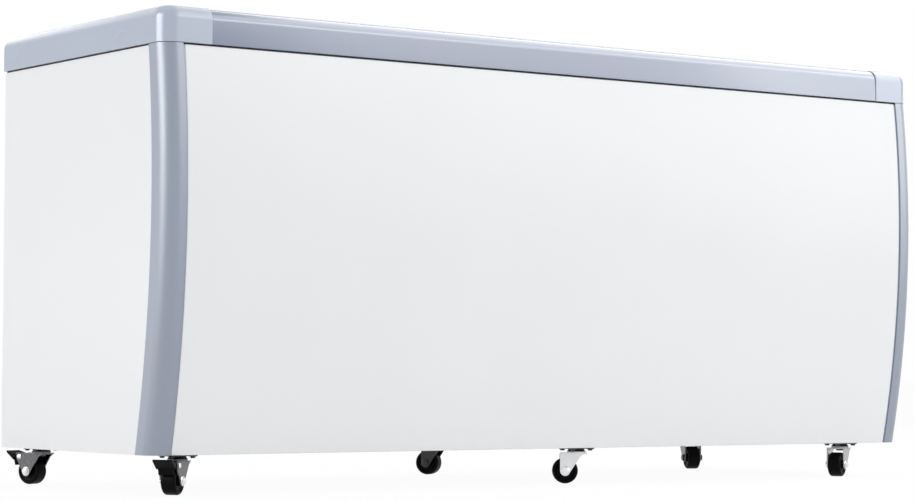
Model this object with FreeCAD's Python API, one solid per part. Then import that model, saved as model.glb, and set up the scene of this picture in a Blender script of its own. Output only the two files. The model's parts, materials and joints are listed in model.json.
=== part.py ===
"""Ice cream display freezer on six casters, in millimetres.

The origin is on the floor under the middle of the cabinet. The bowed front faces -Y, +X is the
right-hand end seen from the front, and +Z is up.
"""
import FreeCAD, Part
import math
import os

from FreeCAD import Vector

os.makedirs("parts", exist_ok=True)

# Cabinet body
body_width = 1798.0
body_depth = 612.0
body_height = 716.0
front_setback = 35.5
front_sag = 30.0
panel_sheet = 1.0
panel_flange = 14.0
shadow_gap = 3.0
base_sheet = 1.2
fit_gap = 0.3

# Corner posts
post_proud = 1.5
post_wall = 2.5
post_corner_radius = 30.0
post_side_width = 52.0
post_front_width = 41.0
post_groove = 3.0
post_tongue = 12.0
post_seam = 0.8

# Top frame
frame_overhang = 3.0
frame_height = 65.0
frame_wall = 3.0
frame_foot = 16.0
frame_top_radius = 22.0
cap_proud = 1.2
cap_seam = 0.4
gasket_width = 11.0
gasket_recess = 2.0

# Insulated tub
wall_insulation = 65.0
end_insulation = 97.0
floor_insulation = 72.0
machine_insulation = 58.0
foam_skin_gap = 2.5
liner_sheet = 0.8
liner_corner_radius = 8.0
liner_rim = 22.0
liner_rise = 14.0
liner_reveal = 1.0
step_length = 262.0
step_height = 288.0
drain_radius = 9.0
drain_wall = 1.0
drain_inset = 104.0
drain_drop = 6.0
plug_stem = 14.0
plug_flange = 5.0
plug_flange_sheet = 3.0
plug_neck_radius = 3.5
plug_neck = 7.0
plug_knob_radius = 6.0

# Evaporator tube wound round the liner
coil_tube_radius = 4.0
coil_first_level = 40.0
coil_step_gap = 88.0
coil_top_gap = 10.0
coil_low_turns = 3
coil_high_turns = 5

# Sliding lids and their tracks
track_web = 2.5
track_shelf = 12.0
track_rise = 3.0
track_slot = 14.0
track_wall_rise = 14.0
bumper_thickness = 6.0
lid_glass = 4.0
lid_end_bar = 24.0
lid_runner = 16.0
lid_bite = 7.0
lid_overlap = 36.0
lid_play = 1.0
runner_reveal = 0.4
groove_clearance = 0.5
slot_play = 2.5
grip_length = 150.0
grip_width = 9.0
grip_clearance = 1.5

# Machine space
compressor_radius = 75.0
compressor_height = 185.0
compressor_inset_x = 122.0
compressor_inset_y = 150.0
compressor_dome = 30.0
compressor_seam = 4.0
compressor_wall = 9.0
foot_plate_length = 200.0
foot_plate_width = 140.0
foot_plate_sheet = 3.0
mount_height = 18.0
mount_radius = 12.0
mount_stud_radius = 3.0
condenser_depth = 40.0
condenser_height = 220.0
condenser_foot = 14.0
condenser_inset_x = 18.0
condenser_inset_y = 34.0
condenser_fin_pitch = 12.0
condenser_fin_sheet = 5.0
condenser_plate = 2.0
fan_margin = 25.0
fan_tip_gap = 5.0
fan_hub_radius = 20.0
fan_depth = 22.0
fan_blade_count = 5
fan_blade_sheet = 1.6
fan_pitch_angle = 28.0
fan_shaft_radius = 4.0
fan_collar_depth = 12.0
fan_plate_sheet = 2.0
motor_radius = 38.0
motor_length = 50.0
motor_gap = 8.0
drier_radius = 10.0
drier_length = 110.0
drier_inset = 42.0
drier_rise = 77.0
line_radius = 4.0
capillary_radius = 1.5
line_bend = 12.0
stub_radius = 6.0
stub_length = 8.0
stub_height = 122.0
line_room = 78.0

# Service side
control_width = 130.0
control_height = 64.0
control_depth = 6.0
thermostat_depth = 33.0
control_wall = 2.5
control_flange = 8.0
control_flange_sheet = 1.0
control_drop = 62.0
knob_radius = 17.0
knob_height = 15.0
knob_spindle_radius = 3.0
running_gap = 0.05
switch_width = 22.0
switch_height = 30.0
switch_depth = 9.0
switch_pivot_radius = 2.0
louvre_length = 100.0
louvre_slot = 7.0
louvre_pitch = 18.0
louvre_rows = 8
louvre_reach = 2.6
grille_margin = 10.0
grille_rim = 12.0
grille_sheet = 2.5
grille_lip = 2.0
grille_lip_depth = 6.0
grille_slot = 6.0
grille_bar = 6.0
gland_radius = 13.0
gland_flange = 2.2
gland_neck_radius = 9.0
gland_neck = 13.0
gland_bore = 4.5
screw_radius = 2.0
screw_head_radius = 4.5
screw_head = 2.2
screw_head_round = 1.3
screw_length = 9.0

# Casters
wheel_diameter = 50.0
wheel_width = 28.0
wheel_shoulder = 5.0
wheel_hub_radius = 9.0
wheel_dish = 3.0
wheel_rim_radius = 17.5
axle_radius = 4.0
axle_head_radius = 7.0
axle_head = 4.0
axle_end = 1.0
trail = 22.0
fork_gap = 33.0
fork_sheet = 2.5
fork_crown_radius = 21.0
fork_boss_radius = 10.0
fork_lift = 7.0
fork_nose = 16.8
fork_throat = 4.9
fork_toe_angle = 50.0
kingpin_radius = 4.0
kingpin_head_radius = 8.0
kingpin_head = 3.4
race_inner_radius = 12.0
race_outer_radius = 18.0
race_ring = 2.5
race_height = 5.2
plate_length = 58.0
plate_width = 48.0
plate_sheet = 2.5
plate_corner_radius = 5.2
plate_bolt_inset = 7.5
bolt_radius = 3.0
bolt_head_radius = 5.2
bolt_head = 3.6
bolt_reach = 5.0
bolt_clearance = 0.3
front_left_caster_inset = 80.0
rear_left_caster_inset = 61.0
right_caster_inset = 124.0
front_middle_caster_offset = 70.0
rear_middle_caster_offset = 85.0
front_caster_inset = 44.0
rear_caster_inset = 46.0
pedal_allowance = 6.0

# Brake pedals
brake_pivot_out = 16.0
brake_pivot_up = 27.5
brake_pivot_radius = 3.0
brake_pin_end = 1.0
brake_boss_radius = 5.6
brake_pedal_reach = 33.0
brake_pedal_width = 36.0
brake_pedal_sheet = 3.4
brake_pedal_root = 9.0
brake_pedal_lift = 9.0
brake_apron_width = 28.0
brake_apron_out = 15.0
brake_apron_drop = 16.5
brake_apron_sheet = 2.5
brake_shoe_width = 25.0
brake_shoe_sheet = 3.0
brake_shoe_gap = 3.8
brake_shoe_angle = 38.7

# Levels, from the floor up
caster_height = (
    wheel_diameter + fork_lift + fork_sheet + race_ring + fit_gap + race_height + plate_sheet
)
base_z = caster_height
frame_z = base_z + body_height
top_z = frame_z + frame_height

# Bow of the front: one arc from the foot to the underside of the top frame
bow_chord = math.hypot(body_height, front_setback)
bow_radius = (bow_chord ** 2 / 4 + front_sag ** 2) / (2 * front_sag)
bow_centre_z = base_z + body_height / 2 + (bow_radius - front_sag) * front_setback / bow_chord
bow_centre_depth = front_setback / 2 + (bow_radius - front_sag) * body_height / bow_chord
bow_reach = bow_radius - bow_centre_depth

side_x = body_width / 2
back_y = (body_depth + bow_reach + post_proud - frame_overhang) / 2 - pedal_allowance
front_y = back_y - body_depth
bow_centre_y = front_y + bow_centre_depth
foot_y = front_y + front_setback
panel_top = frame_z - shadow_gap

frame_x = side_x + frame_overhang
frame_front = front_y - frame_overhang
frame_back = back_y + frame_overhang

post_x = side_x + post_proud
post_edge = post_x - post_front_width
front_half = post_edge - post_groove
post_rear_inset = post_side_width - post_proud

liner_x = side_x - end_insulation
liner_front = front_y + wall_insulation
liner_back = back_y - wall_insulation
liner_floor = base_z + floor_insulation
liner_top = frame_z + liner_rise
liner_middle = (liner_front + liner_back) / 2
step_x = liner_x - step_length
step_z = liner_floor + step_height
cap_inner = liner_x + liner_reveal
rail_front_inner = liner_front - liner_reveal
rail_back_inner = liner_back + liner_reveal
coil_offset = coil_tube_radius + fit_gap
coil_space = 2 * coil_offset
drain_x = -liner_x + drain_inset

machine_x = step_x + machine_insulation
machine_top = step_z - machine_insulation
machine_floor = base_z + base_sheet
compressor_x = machine_x + compressor_inset_x
compressor_y = back_y - compressor_inset_y
compressor_z = machine_floor + mount_height + foot_plate_sheet
condenser_x1 = side_x - panel_sheet - condenser_inset_x
condenser_x0 = condenser_x1 - condenser_depth
condenser_y0 = liner_front + condenser_inset_y
condenser_y1 = compressor_y - compressor_radius - line_room
condenser_width = condenser_y1 - condenser_y0
condenser_z0 = machine_floor + condenser_foot
condenser_z1 = condenser_z0 + condenser_height
fan_y = (condenser_y0 + condenser_y1) / 2
fan_z = (condenser_z0 + condenser_z1) / 2
fan_radius = condenser_width / 2 - fan_margin
grille_size = condenser_width - 2 * grille_margin
grille_hole = grille_size - 2 * grille_rim
fan_plate_x = condenser_x0 - fan_plate_sheet
fan_x1 = fan_plate_x - fan_tip_gap
fan_x0 = fan_x1 - fan_depth
motor_x1 = fan_x0 - motor_gap
motor_x0 = motor_x1 - motor_length
drier_x = machine_x + drier_inset
drier_y = fan_y + motor_radius
drier_z = machine_floor + drier_rise
control_x = (machine_x + side_x) / 2
control_z = machine_top - control_drop
control_floor = back_y - control_depth

lid_height = track_slot - slot_play
low_shelf = liner_top + track_rise + track_web
high_shelf = low_shelf + track_slot + track_web
low_lid = low_shelf + fit_gap
high_lid = high_shelf + fit_gap
track_front = rail_front_inner
track_back = rail_back_inner
lid_front = track_front + track_web + lid_play
lid_back = track_back - track_web - lid_play
lid_end = cap_inner - bumper_thickness - fit_gap

wheel_radius = wheel_diameter / 2
crown_z = wheel_diameter + fork_lift
crown_top = crown_z + fork_sheet
race_z = crown_top + race_ring + fit_gap
plate_z = race_z + race_height
fork_half = fork_gap / 2 + fork_sheet
brake_x = trail + brake_pivot_out
brake_z = wheel_radius + brake_pivot_up

front_row = foot_y + front_caster_inset
rear_row = back_y - rear_caster_inset

# Each caster: kingpin place, direction of its trail in degrees, and whether it has a brake
casters = {
    "front_left": (-side_x + front_left_caster_inset, front_row, 218.4, True),
    "front_middle": (front_middle_caster_offset, front_row, 144.2, False),
    "front_right": (side_x - right_caster_inset, front_row, 209.3, False),
    "rear_left": (-side_x + rear_left_caster_inset, rear_row, 112.9, True),
    "rear_middle": (rear_middle_caster_offset, rear_row, 124.0, False),
    "rear_right": (side_x - right_caster_inset, rear_row, 246.4, False),
}

X = Vector(1, 0, 0)
Y = Vector(0, 1, 0)
Z = Vector(0, 0, 1)
over = 1.0


def save(name, *solids):
    """Write one node, a single solid or a group of separate ones."""
    shape = solids[0] if len(solids) == 1 else Part.makeCompound(list(solids))
    shape.exportStep(f"parts/{name}.step")


def box(x0, x1, y0, y1, z0, z1):
    return Part.makeBox(x1 - x0, y1 - y0, z1 - z0, Vector(x0, y0, z0))


def rod(radius, length, base, axis=Z):
    return Part.makeCylinder(radius, length, base, axis)


def tube(radius, bore, length, base, axis=Z):
    inner = rod(bore, length + 2 * over, base - axis * over, axis)
    return rod(radius, length, base, axis).cut(inner)


def joined(solids):
    whole = solids[0].multiFuse(solids[1:])
    return whole.removeSplitter()


def outline(points):
    """Closed wire of straight runs; a point given as (middle, end) is an arc through the middle."""
    edges = []
    here = points[0]
    for point in points[1:] + [points[0]]:
        if isinstance(point, tuple):
            edges.append(Part.Arc(here, point[0], point[1]).toShape())
            here = point[1]
        else:
            edges.append(Part.LineSegment(here, point).toShape())
            here = point
    return Part.Wire(edges)


def prism(points, along):
    return Part.Face(outline(points)).extrude(along)


def mirrored_x(shape):
    return shape.mirror(Vector(0, 0, 0), X)


def bow_y(z, inset=0.0):
    """Front surface of the cabinet at height z, moved inwards by inset."""
    return bow_centre_y - math.sqrt((bow_radius - inset) ** 2 - (z - bow_centre_z) ** 2)


def bow_point(x, z, inset=0.0):
    return Vector(x, bow_y(z, inset), z)


def bowed(x0, x1, z0, z1, near, far):
    """Curved sheet between two insets of the bow."""
    middle = (z0 + z1) / 2
    points = [
        bow_point(x0, z0, near),
        (bow_point(x0, middle, near), bow_point(x0, z1, near)),
        bow_point(x0, z1, far),
        (bow_point(x0, middle, far), bow_point(x0, z0, far)),
    ]
    return prism(points, X * (x1 - x0))


def bow_backed(x0, x1, z0, z1, near, rear):
    """Block from an inset of the bow back to the plane y = rear."""
    middle = (z0 + z1) / 2
    return prism(
        [
            bow_point(x0, z0, near),
            (bow_point(x0, middle, near), bow_point(x0, z1, near)),
            Vector(x0, rear, z1),
            Vector(x0, rear, z0),
        ],
        X * (x1 - x0),
    )


def bent_tube(points, bend, radius):
    """Round tube along straight runs joined by tangent arcs."""
    edges = []
    here = points[0]
    for before, corner, after in zip(points, points[1:], points[2:]):
        back = (before - corner).normalize()
        ahead = (after - corner).normalize()
        half = back.getAngle(ahead) / 2
        start = corner + back * (bend / math.tan(half))
        end = corner + ahead * (bend / math.tan(half))
        middle = corner + (back + ahead).normalize() * (bend / math.sin(half) - bend)
        edges.append(Part.LineSegment(here, start).toShape())
        edges.append(Part.Arc(start, middle, end).toShape())
        here = end
    edges.append(Part.LineSegment(here, points[-1]).toShape())
    section = Part.Wire([Part.Circle(points[0], points[1] - points[0], radius).toShape()])
    return Part.Wire(edges).makePipeShell([section], True, False)


def edges_where(shape, test):
    """Edges whose middle point and two ends pass the test."""
    chosen = []
    for edge in shape.Edges:
        middle = edge.valueAt((edge.FirstParameter + edge.LastParameter) / 2)
        ends = [edge.valueAt(edge.FirstParameter), edge.valueAt(edge.LastParameter)]
        if all(test(p) for p in [middle] + ends):
            chosen.append(edge)
    return chosen


def near(a, b):
    return abs(a - b) < 0.01


def hexagon(radius, height, base, axis):
    """Hexagonal head; radius is to the corners."""
    side = axis.cross(Z) if abs(axis.z) < 0.5 else X
    side.normalize()
    other = axis.cross(side)
    points = []
    for k in range(6):
        turn = math.radians(60 * k)
        points.append(base + side * (radius * math.cos(turn)) + other * (radius * math.sin(turn)))
    return prism(points, axis * height)


def screw(base, axis):
    """Pan-head screw; base is under the head, axis points out of the panel."""
    head = rod(screw_head_radius, screw_head, base, axis)
    head = head.makeFillet(screw_head_round, [head.Edges[0]])
    shank = rod(screw_radius, screw_length, base - axis * screw_length, axis)
    return joined([head, shank])


# Outer panels
def base_pan():
    y0 = foot_y + panel_flange + fit_gap
    pan = box(
        -side_x + panel_sheet + fit_gap, side_x - panel_sheet - fit_gap,
        y0, back_y - panel_sheet - fit_gap, base_z, machine_floor,
    )
    front_corners = edges_where(pan, lambda p: near(p.y, y0) and abs(p.x) > side_x - post_front_width)
    upright = [e for e in front_corners if near(e.BoundBox.ZLength, base_sheet)]
    pan = pan.makeFillet(post_corner_radius, upright)
    for x, y, turn, braked in casters.values():
        for bx, by in plate_bolt_places(x, y):
            pan = pan.cut(rod(bolt_radius + bolt_clearance, 2 * caster_height, Vector(bx, by, 0)))
    spout = drain_radius + drain_wall + fit_gap
    return pan.cut(rod(spout, 2 * caster_height, Vector(drain_x, liner_middle, 0)))


def side_panel():
    """Right-hand side sheet with its top flange; the front edge follows the corner post."""
    inset = post_rear_inset + fit_gap
    rear = back_y - panel_sheet
    sheet = bow_backed(side_x - panel_sheet, side_x, base_z, panel_top, inset, rear)
    flange = bow_backed(
        side_x - panel_flange, side_x, panel_top - panel_sheet, panel_top, inset, rear
    )
    return joined([sheet, flange])


def right_side_panel():
    panel = side_panel()
    half = grille_hole / 2
    hole = box(
        side_x - 2 * panel_sheet, side_x + over,
        fan_y - half, fan_y + half, fan_z - half, fan_z + half,
    )
    return panel.cut(hole)


def back_sheet(x0, x1):
    sheet = box(x0, x1, back_y - panel_sheet, back_y, base_z, panel_top)
    inner0 = max(x0, -side_x + panel_flange + fit_gap)
    inner1 = min(x1, side_x - panel_flange - fit_gap)
    flange = box(inner0, inner1, back_y - panel_flange, back_y, panel_top - panel_sheet, panel_top)
    return joined([sheet, flange])


def machine_cover():
    """Rear sheet over the machine space, with pressed louvres and the control opening."""
    cover = back_sheet(machine_x + fit_gap, side_x)
    half_w = control_width / 2 + fit_gap
    half_h = control_height / 2 + fit_gap
    cover = cover.cut(box(
        control_x - half_w, control_x + half_w, back_y - panel_sheet - over, back_y + over,
        control_z - half_h, control_z + half_h,
    ))
    blades = []
    for x, z in louvre_places():
        x0 = x - louvre_length / 2
        cover = cover.cut(box(
            x0, x0 + louvre_length, back_y - panel_sheet - over, back_y + over, z, z + louvre_slot
        ))
        blades.append(prism(
            [
                Vector(x0, back_y - panel_sheet, z + louvre_slot),
                Vector(x0, back_y, z + louvre_slot + panel_sheet),
                Vector(x0, back_y + louvre_reach, z + panel_sheet),
                Vector(x0, back_y + louvre_reach, z),
            ],
            X * louvre_length,
        ))
    for x, z in cover_screw_places() + control_screw_places():
        cover = cover.cut(rod(screw_radius + fit_gap, panel_sheet + 2 * over,
                              Vector(x, back_y - panel_sheet - over, z), Y))
    gx, gz = gland_place()
    cover = cover.cut(rod(gland_neck_radius + fit_gap, panel_sheet + 2 * over,
                          Vector(gx, back_y - panel_sheet - over, gz), Y))
    return joined([cover] + blades)


def louvre_places():
    first = machine_floor + 3 * louvre_pitch
    places = []
    for column in (-0.5, 0.5):
        for row in range(louvre_rows):
            x = control_x + column * (louvre_length + louvre_pitch)
            places.append((x, first + row * louvre_pitch))
    return places


def cover_screw_places():
    x0 = machine_x + panel_flange
    x1 = side_x - panel_flange
    z0 = base_z + panel_flange
    z1 = panel_top - 2 * panel_flange
    return [(x, z) for x in (x0, x1) for z in (z0, machine_top, z1)]


def control_screw_places():
    half_w = control_width / 2 + control_flange / 2 + screw_radius / 2
    return [(control_x - half_w, control_z), (control_x + half_w, control_z)]


def gland_place():
    return machine_x + 3 * gland_radius, machine_floor + 2 * gland_radius


def front_panel():
    """Bowed white front sheet with folded edges at the foot and under the frame."""
    sheet = bowed(-front_half, front_half, base_z, panel_top, 0, panel_sheet)
    foot = bow_backed(
        -front_half, front_half, base_z, base_z + panel_sheet, 0, foot_y + panel_flange
    )
    head = bow_backed(
        -front_half, front_half, panel_top - panel_sheet, panel_top, 0, front_y + panel_flange
    )
    return joined([sheet, foot, head])


def left_corner_post():
    """Moulded corner post, L-shaped in plan, with a tongue behind the edge of the front panel."""
    z1 = frame_z - post_seam
    outer = bowed(-post_x, -post_edge, base_z, z1, -post_proud, post_rear_inset)
    corner = edges_where(outer, lambda p: near(p.x, -post_x) and near(p.y, bow_y(p.z, -post_proud)))
    outer = outer.makeFillet(post_corner_radius, corner)
    inner = bowed(
        -post_x + post_wall, -post_edge + over, base_z - over, z1 + over,
        post_wall - post_proud, post_rear_inset + over,
    )
    corner = edges_where(
        inner,
        lambda p: near(p.x, -post_x + post_wall) and near(p.y, bow_y(p.z, post_wall - post_proud)),
    )
    inner = inner.makeFillet(post_corner_radius - post_wall, corner)
    tongue_near = max(panel_sheet, post_wall - post_proud) + fit_gap
    tongue_far = tongue_near + post_wall
    tongue_z0 = base_z + panel_sheet + fit_gap
    tongue_z1 = panel_top - panel_sheet - fit_gap
    root = -post_edge - 2 * post_wall
    tongue = bowed(
        root, -front_half + post_tongue, tongue_z0, tongue_z1, tongue_near, tongue_far
    )
    joggle = bowed(root, -post_edge, tongue_z0, tongue_z1, 0, tongue_far)
    return joined([outer.cut(inner), joggle, tongue])


# Top frame
def left_top_cap():
    """Hollow end moulding that turns a round corner at the front and a square one at the back."""
    corner_radius = post_corner_radius + frame_overhang - post_proud

    def block(inset, z0, z1, inner_x):
        x0 = -frame_x + inset
        y0 = frame_front + inset
        y1 = frame_back - inset
        body = box(x0, inner_x, y0, y1, z0, z1)
        upright = edges_where(body, lambda p: near(p.x, x0) and near(p.y, y0))
        body = body.makeFillet(corner_radius - inset, upright)
        rim = edges_where(
            body, lambda p: near(p.z, z1) and not (near(p.x, inner_x) and y0 + over < p.y < y1 - over)
        )
        return body.makeFillet(frame_top_radius - inset, rim)

    cap = block(0, frame_z, top_z, -cap_inner)
    hollow = block(frame_wall, frame_z + frame_wall, top_z - frame_wall, -cap_inner - frame_wall)
    foot = frame_wall + frame_foot
    way = box(
        -frame_x + foot, -cap_inner + over, frame_front + foot, frame_back - foot,
        frame_z - over, liner_top,
    )
    return cap.cut(hollow).cut(way)


def top_rail(outer, inner):
    """Straight frame rail; outer and inner are the y of its two upright faces."""
    way = 1 if inner > outer else -1
    x0 = -cap_inner + cap_seam
    top = top_z - cap_proud
    face = outer + way * cap_proud
    large = frame_top_radius
    small = frame_top_radius - frame_wall
    turn = math.sqrt(0.5)

    def at(depth, z):
        return Vector(x0, face + way * depth, z)

    reach = abs(inner - face)
    points = [
        at(0, frame_z),
        at(0, top - large),
        (at(large * (1 - turn), top - large * (1 - turn)), at(large, top)),
        at(reach, top),
        at(reach, liner_top),
        at(reach - frame_wall, liner_top),
        at(reach - frame_wall, top - frame_wall),
        at(large, top - frame_wall),
        (
            at(large - small * turn, top - large + small * turn),
            at(frame_wall, top - large),
        ),
        at(frame_wall, frame_z + frame_wall),
        at(frame_wall + frame_foot, frame_z + frame_wall),
        at(frame_wall + frame_foot, frame_z),
    ]
    return prism(points, X * (2 * (cap_inner - cap_seam)))


def frame_gasket():
    """Four dark foam strips between the folded panel edges and the frame."""
    outer = gasket_recess
    inner = gasket_recess + gasket_width
    side_y0 = bow_y(panel_top, post_rear_inset) + fit_gap
    side_y1 = back_y - inner - fit_gap
    strips = [
        box(-front_half, front_half, front_y + outer, front_y + inner, panel_top, frame_z),
        box(-side_x + outer, side_x - outer, back_y - inner, back_y - outer, panel_top, frame_z),
    ]
    for x0 in (-side_x + outer, side_x - inner):
        strips.append(box(x0, x0 + gasket_width, side_y0, side_y1, panel_top, frame_z))
    return strips


# Insulated tub
def stepped(grow, z1):
    """The tub's outer shape with its step over the machine space, grown sideways by grow."""
    y0 = liner_front - grow
    points = [
        Vector(-liner_x - grow, y0, liner_floor),
        Vector(step_x + grow, y0, liner_floor),
        Vector(step_x + grow, y0, step_z),
        Vector(liner_x + grow, y0, step_z),
        Vector(liner_x + grow, y0, z1),
        Vector(-liner_x - grow, y0, z1),
    ]
    return prism(points, Y * (liner_back - liner_front + 2 * grow))


def rounded_tub(grow, z1):
    """The same shape with its upright corners rounded, made from a deep and a shallow block."""
    blocks = []
    for x1, z0, z2 in (
        (step_x + grow, liner_floor - grow, step_z - grow),
        (liner_x + grow, step_z - grow, z1),
    ):
        block = box(-liner_x - grow, x1, liner_front - grow, liner_back + grow, z0, z2)
        upright = [e for e in block.Edges if near(e.BoundBox.ZLength, z2 - z0)]
        blocks.append(block.makeFillet(liner_corner_radius + grow, upright))
    return joined(blocks)


def inner_liner():
    """Tub with a step, joined from flat sheets and corner strips, with a rim and a drain spout."""
    outer = rounded_tub(0, liner_top)
    rim = box(
        -liner_x - liner_rim, liner_x + liner_rim,
        liner_front - liner_rim, liner_back + liner_rim, liner_top - liner_sheet, liner_top,
    )
    spout_foot = base_z - drain_drop
    centre = Vector(drain_x, liner_middle, spout_foot)
    spout = rod(drain_radius + drain_wall, liner_floor - spout_foot, centre)
    tub = joined([outer, rim, spout])
    tub = tub.cut(rounded_tub(-liner_sheet, liner_top + over))
    tub = tub.cut(rod(drain_radius, liner_top, centre - Z * over))
    return [tub.common(zone) for zone in liner_zones(spout_foot)]


def liner_zones(spout_foot):
    """Room of each sheet of the tub, so that they meet edge to edge."""
    sheet = liner_sheet
    bend = liner_corner_radius
    left, right = -liner_x, liner_x
    front, rear = liner_front, liner_back
    deep = liner_floor + sheet
    shelf = step_z + sheet
    floor = box(left, step_x, front, rear, liner_floor, deep)
    spout = box(left, step_x, front, rear, spout_foot, liner_floor)
    step = box(step_x - sheet, right, front, rear, step_z, shelf)
    riser = box(step_x - sheet, step_x, front + bend, rear - bend, deep, step_z)
    left_wall = box(left, left + sheet, front + bend, rear - bend, deep, liner_top)
    right_wall = box(right - sheet, right, front + bend, rear - bend, shelf, liner_top)
    zones = [floor, spout, step, riser, left_wall, right_wall]
    for y0, y1 in ((front, front + sheet), (rear - sheet, rear)):
        zones.append(box(left + bend, step_x - bend, y0, y1, deep, shelf))
        zones.append(box(left + bend, right - bend, y0, y1, shelf, liner_top))
    for y0, y1 in ((front, front + bend), (rear - bend, rear)):
        zones.append(box(left, left + bend, y0, y1, deep, liner_top))
        zones.append(box(right - bend, right, y0, y1, shelf, liner_top))
        zones.append(joined([
            box(step_x - bend, step_x, y0, y1, deep, step_z),
            box(step_x - bend, step_x - sheet, y0, y1, step_z, shelf),
        ]))
    rim_z = liner_top - sheet
    for x0, x1 in ((left - liner_rim, left), (right, right + liner_rim)):
        zones.append(box(x0, x1, front, rear, rim_z, liner_top))
    for y0, y1 in ((front - liner_rim, front), (rear, rear + liner_rim)):
        zones.append(box(left - liner_rim, right + liner_rim, y0, y1, rim_z, liner_top))
    return zones


def drain_plug():
    """Rubber stopper with a lifting knob, sitting in the spout."""
    floor = liner_floor + liner_sheet + fit_gap / 3
    neck_z = floor + plug_flange_sheet
    knob_z = neck_z + plug_neck + plug_knob_radius / 2
    stem = rod(drain_radius - fit_gap, plug_stem, Vector(drain_x, liner_middle, floor - plug_stem))
    flange = rod(drain_radius + plug_flange, plug_flange_sheet, Vector(drain_x, liner_middle, floor))
    neck = rod(plug_neck_radius, plug_neck, Vector(drain_x, liner_middle, neck_z))
    knob = Part.makeSphere(plug_knob_radius, Vector(drain_x, liner_middle, knob_z))
    return joined([stem, flange, neck, knob])


def foam():
    """Foam between the outer panels and the liner, cleared for the machine space and the coil."""
    x1 = side_x - panel_sheet - fit_gap
    rear = back_y - panel_sheet - fit_gap
    low = machine_floor
    front_inset = panel_sheet + post_wall + foam_skin_gap
    block = bow_backed(-x1, x1, low, panel_top - foam_skin_gap, front_inset, rear)
    grow = coil_space + gasket_width
    curb = box(
        -liner_x - grow, liner_x + grow, liner_front - grow, liner_back + grow,
        panel_top - panel_flange, liner_top - liner_sheet,
    )
    body = joined([block, curb])
    body = body.cut(stepped(coil_space, top_z))
    body = body.cut(box(
        machine_x, side_x, liner_front, back_y, base_z, machine_top
    ))
    corner_x = front_half - post_tongue - 2 * foam_skin_gap
    for x0, x2 in ((-post_x, -corner_x), (corner_x, post_x)):
        body = body.cut(bowed(
            x0, x2, base_z - over, frame_z, -foam_skin_gap, post_rear_inset + foam_skin_gap
        ))
    clear = bolt_reach + 2 * foam_skin_gap
    for x, y, turn, braked in casters.values():
        body = body.cut(box(
            x - plate_length / 2, x + plate_length / 2, y - plate_width / 2, y + plate_width / 2,
            base_z, machine_floor + clear,
        ))
    spout = drain_radius + drain_wall + fit_gap
    body = body.cut(rod(spout, liner_floor, Vector(drain_x, liner_middle, 0)))
    for x, z in cover_screw_places():
        deep = screw_length + 2 * over
        body = body.cut(rod(screw_radius + fit_gap, deep, Vector(x, back_y - deep, z), Y))
    for way in coil_ways():
        body = body.cut(way)
    return body


# Evaporator tube
coil_x_left = -liner_x - coil_offset
coil_y_front = liner_front - coil_offset
coil_y_back = liner_back + coil_offset
coil_return_x = liner_x + coil_space + 2 * coil_offset
coil_end_y = compressor_y - 4 * line_bend


def coil_levels():
    """Heights of the turns, some round the deep well and the rest round the whole tub."""
    first = liner_floor + coil_first_level
    low_pitch = (step_z - coil_step_gap - first) / (coil_low_turns - 1)
    high_pitch = (liner_top - coil_top_gap - step_z) / (coil_high_turns - 0.5)
    low = [first + k * low_pitch for k in range(coil_low_turns)]
    high = [step_z + (k + 0.5) * high_pitch for k in range(coil_high_turns)]
    return low + high


def coil_right(z):
    return (step_x if z < step_z else liner_x) + coil_offset


def evaporator_coil():
    """One tube wound up the outside of the liner and back down to the machine space."""
    levels = coil_levels()
    points = [Vector(machine_x + line_bend, coil_y_back, levels[0])]
    for low, high in zip(levels, levels[1:]):
        right = coil_right(high)
        points.append(Vector(coil_x_left, coil_y_back, low))
        points.append(Vector(coil_x_left, coil_y_front, high))
        points.append(Vector(right, coil_y_front, high))
        points.append(Vector(right, coil_y_back, high))
    points.pop()
    top = levels[-1]
    points.append(Vector(coil_right(top), coil_end_y, top))
    points.append(Vector(coil_return_x, compressor_y, top))
    points.append(Vector(coil_return_x, compressor_y, machine_top - line_bend))
    return bent_tube(points, line_bend, coil_tube_radius)


def coil_ways():
    """Channels through the foam for the two ends of the coil."""
    reach = coil_offset + fit_gap
    first = coil_levels()[0]
    last = coil_levels()[-1]
    feed = box(
        step_x, machine_x + over, coil_y_back - reach, coil_y_back + reach,
        first - reach, first + reach,
    )
    jog = box(
        liner_x, coil_return_x + reach, coil_end_y - line_bend, compressor_y + reach,
        last - reach, last + reach,
    )
    drop = box(
        coil_return_x - reach, coil_return_x + reach,
        compressor_y - line_bend - reach, compressor_y + reach, machine_top - over, last + reach,
    )
    return [feed, jog, drop]


# Lids
def lid_track(wall, way):
    """Two-level track along one rail; wall is its outer face and way points into the tub."""
    x1 = cap_inner - cap_seam

    def bar(depth0, depth1, z0, z1):
        y0, y1 = sorted((wall + way * depth0, wall + way * depth1))
        return box(-x1, x1, y0, y1, z0, z1)

    reach = track_web + track_shelf
    return joined([
        bar(0, track_web, low_shelf - track_web, high_shelf + track_wall_rise),
        bar(0, reach, low_shelf - track_web, low_shelf),
        bar(0, reach, high_shelf - track_web, high_shelf),
    ])


def lid_bumpers():
    """Rubber stops in the ends of both levels of both tracks."""
    blocks = []
    for shelf in (low_shelf, high_shelf):
        for x0 in (-cap_inner, cap_inner - bumper_thickness):
            for y0 in (track_front + track_web, track_back - track_web - track_shelf):
                blocks.append(box(
                    x0, x0 + bumper_thickness, y0, y0 + track_shelf,
                    shelf, shelf + track_slot - slot_play,
                ))
    return blocks


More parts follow.
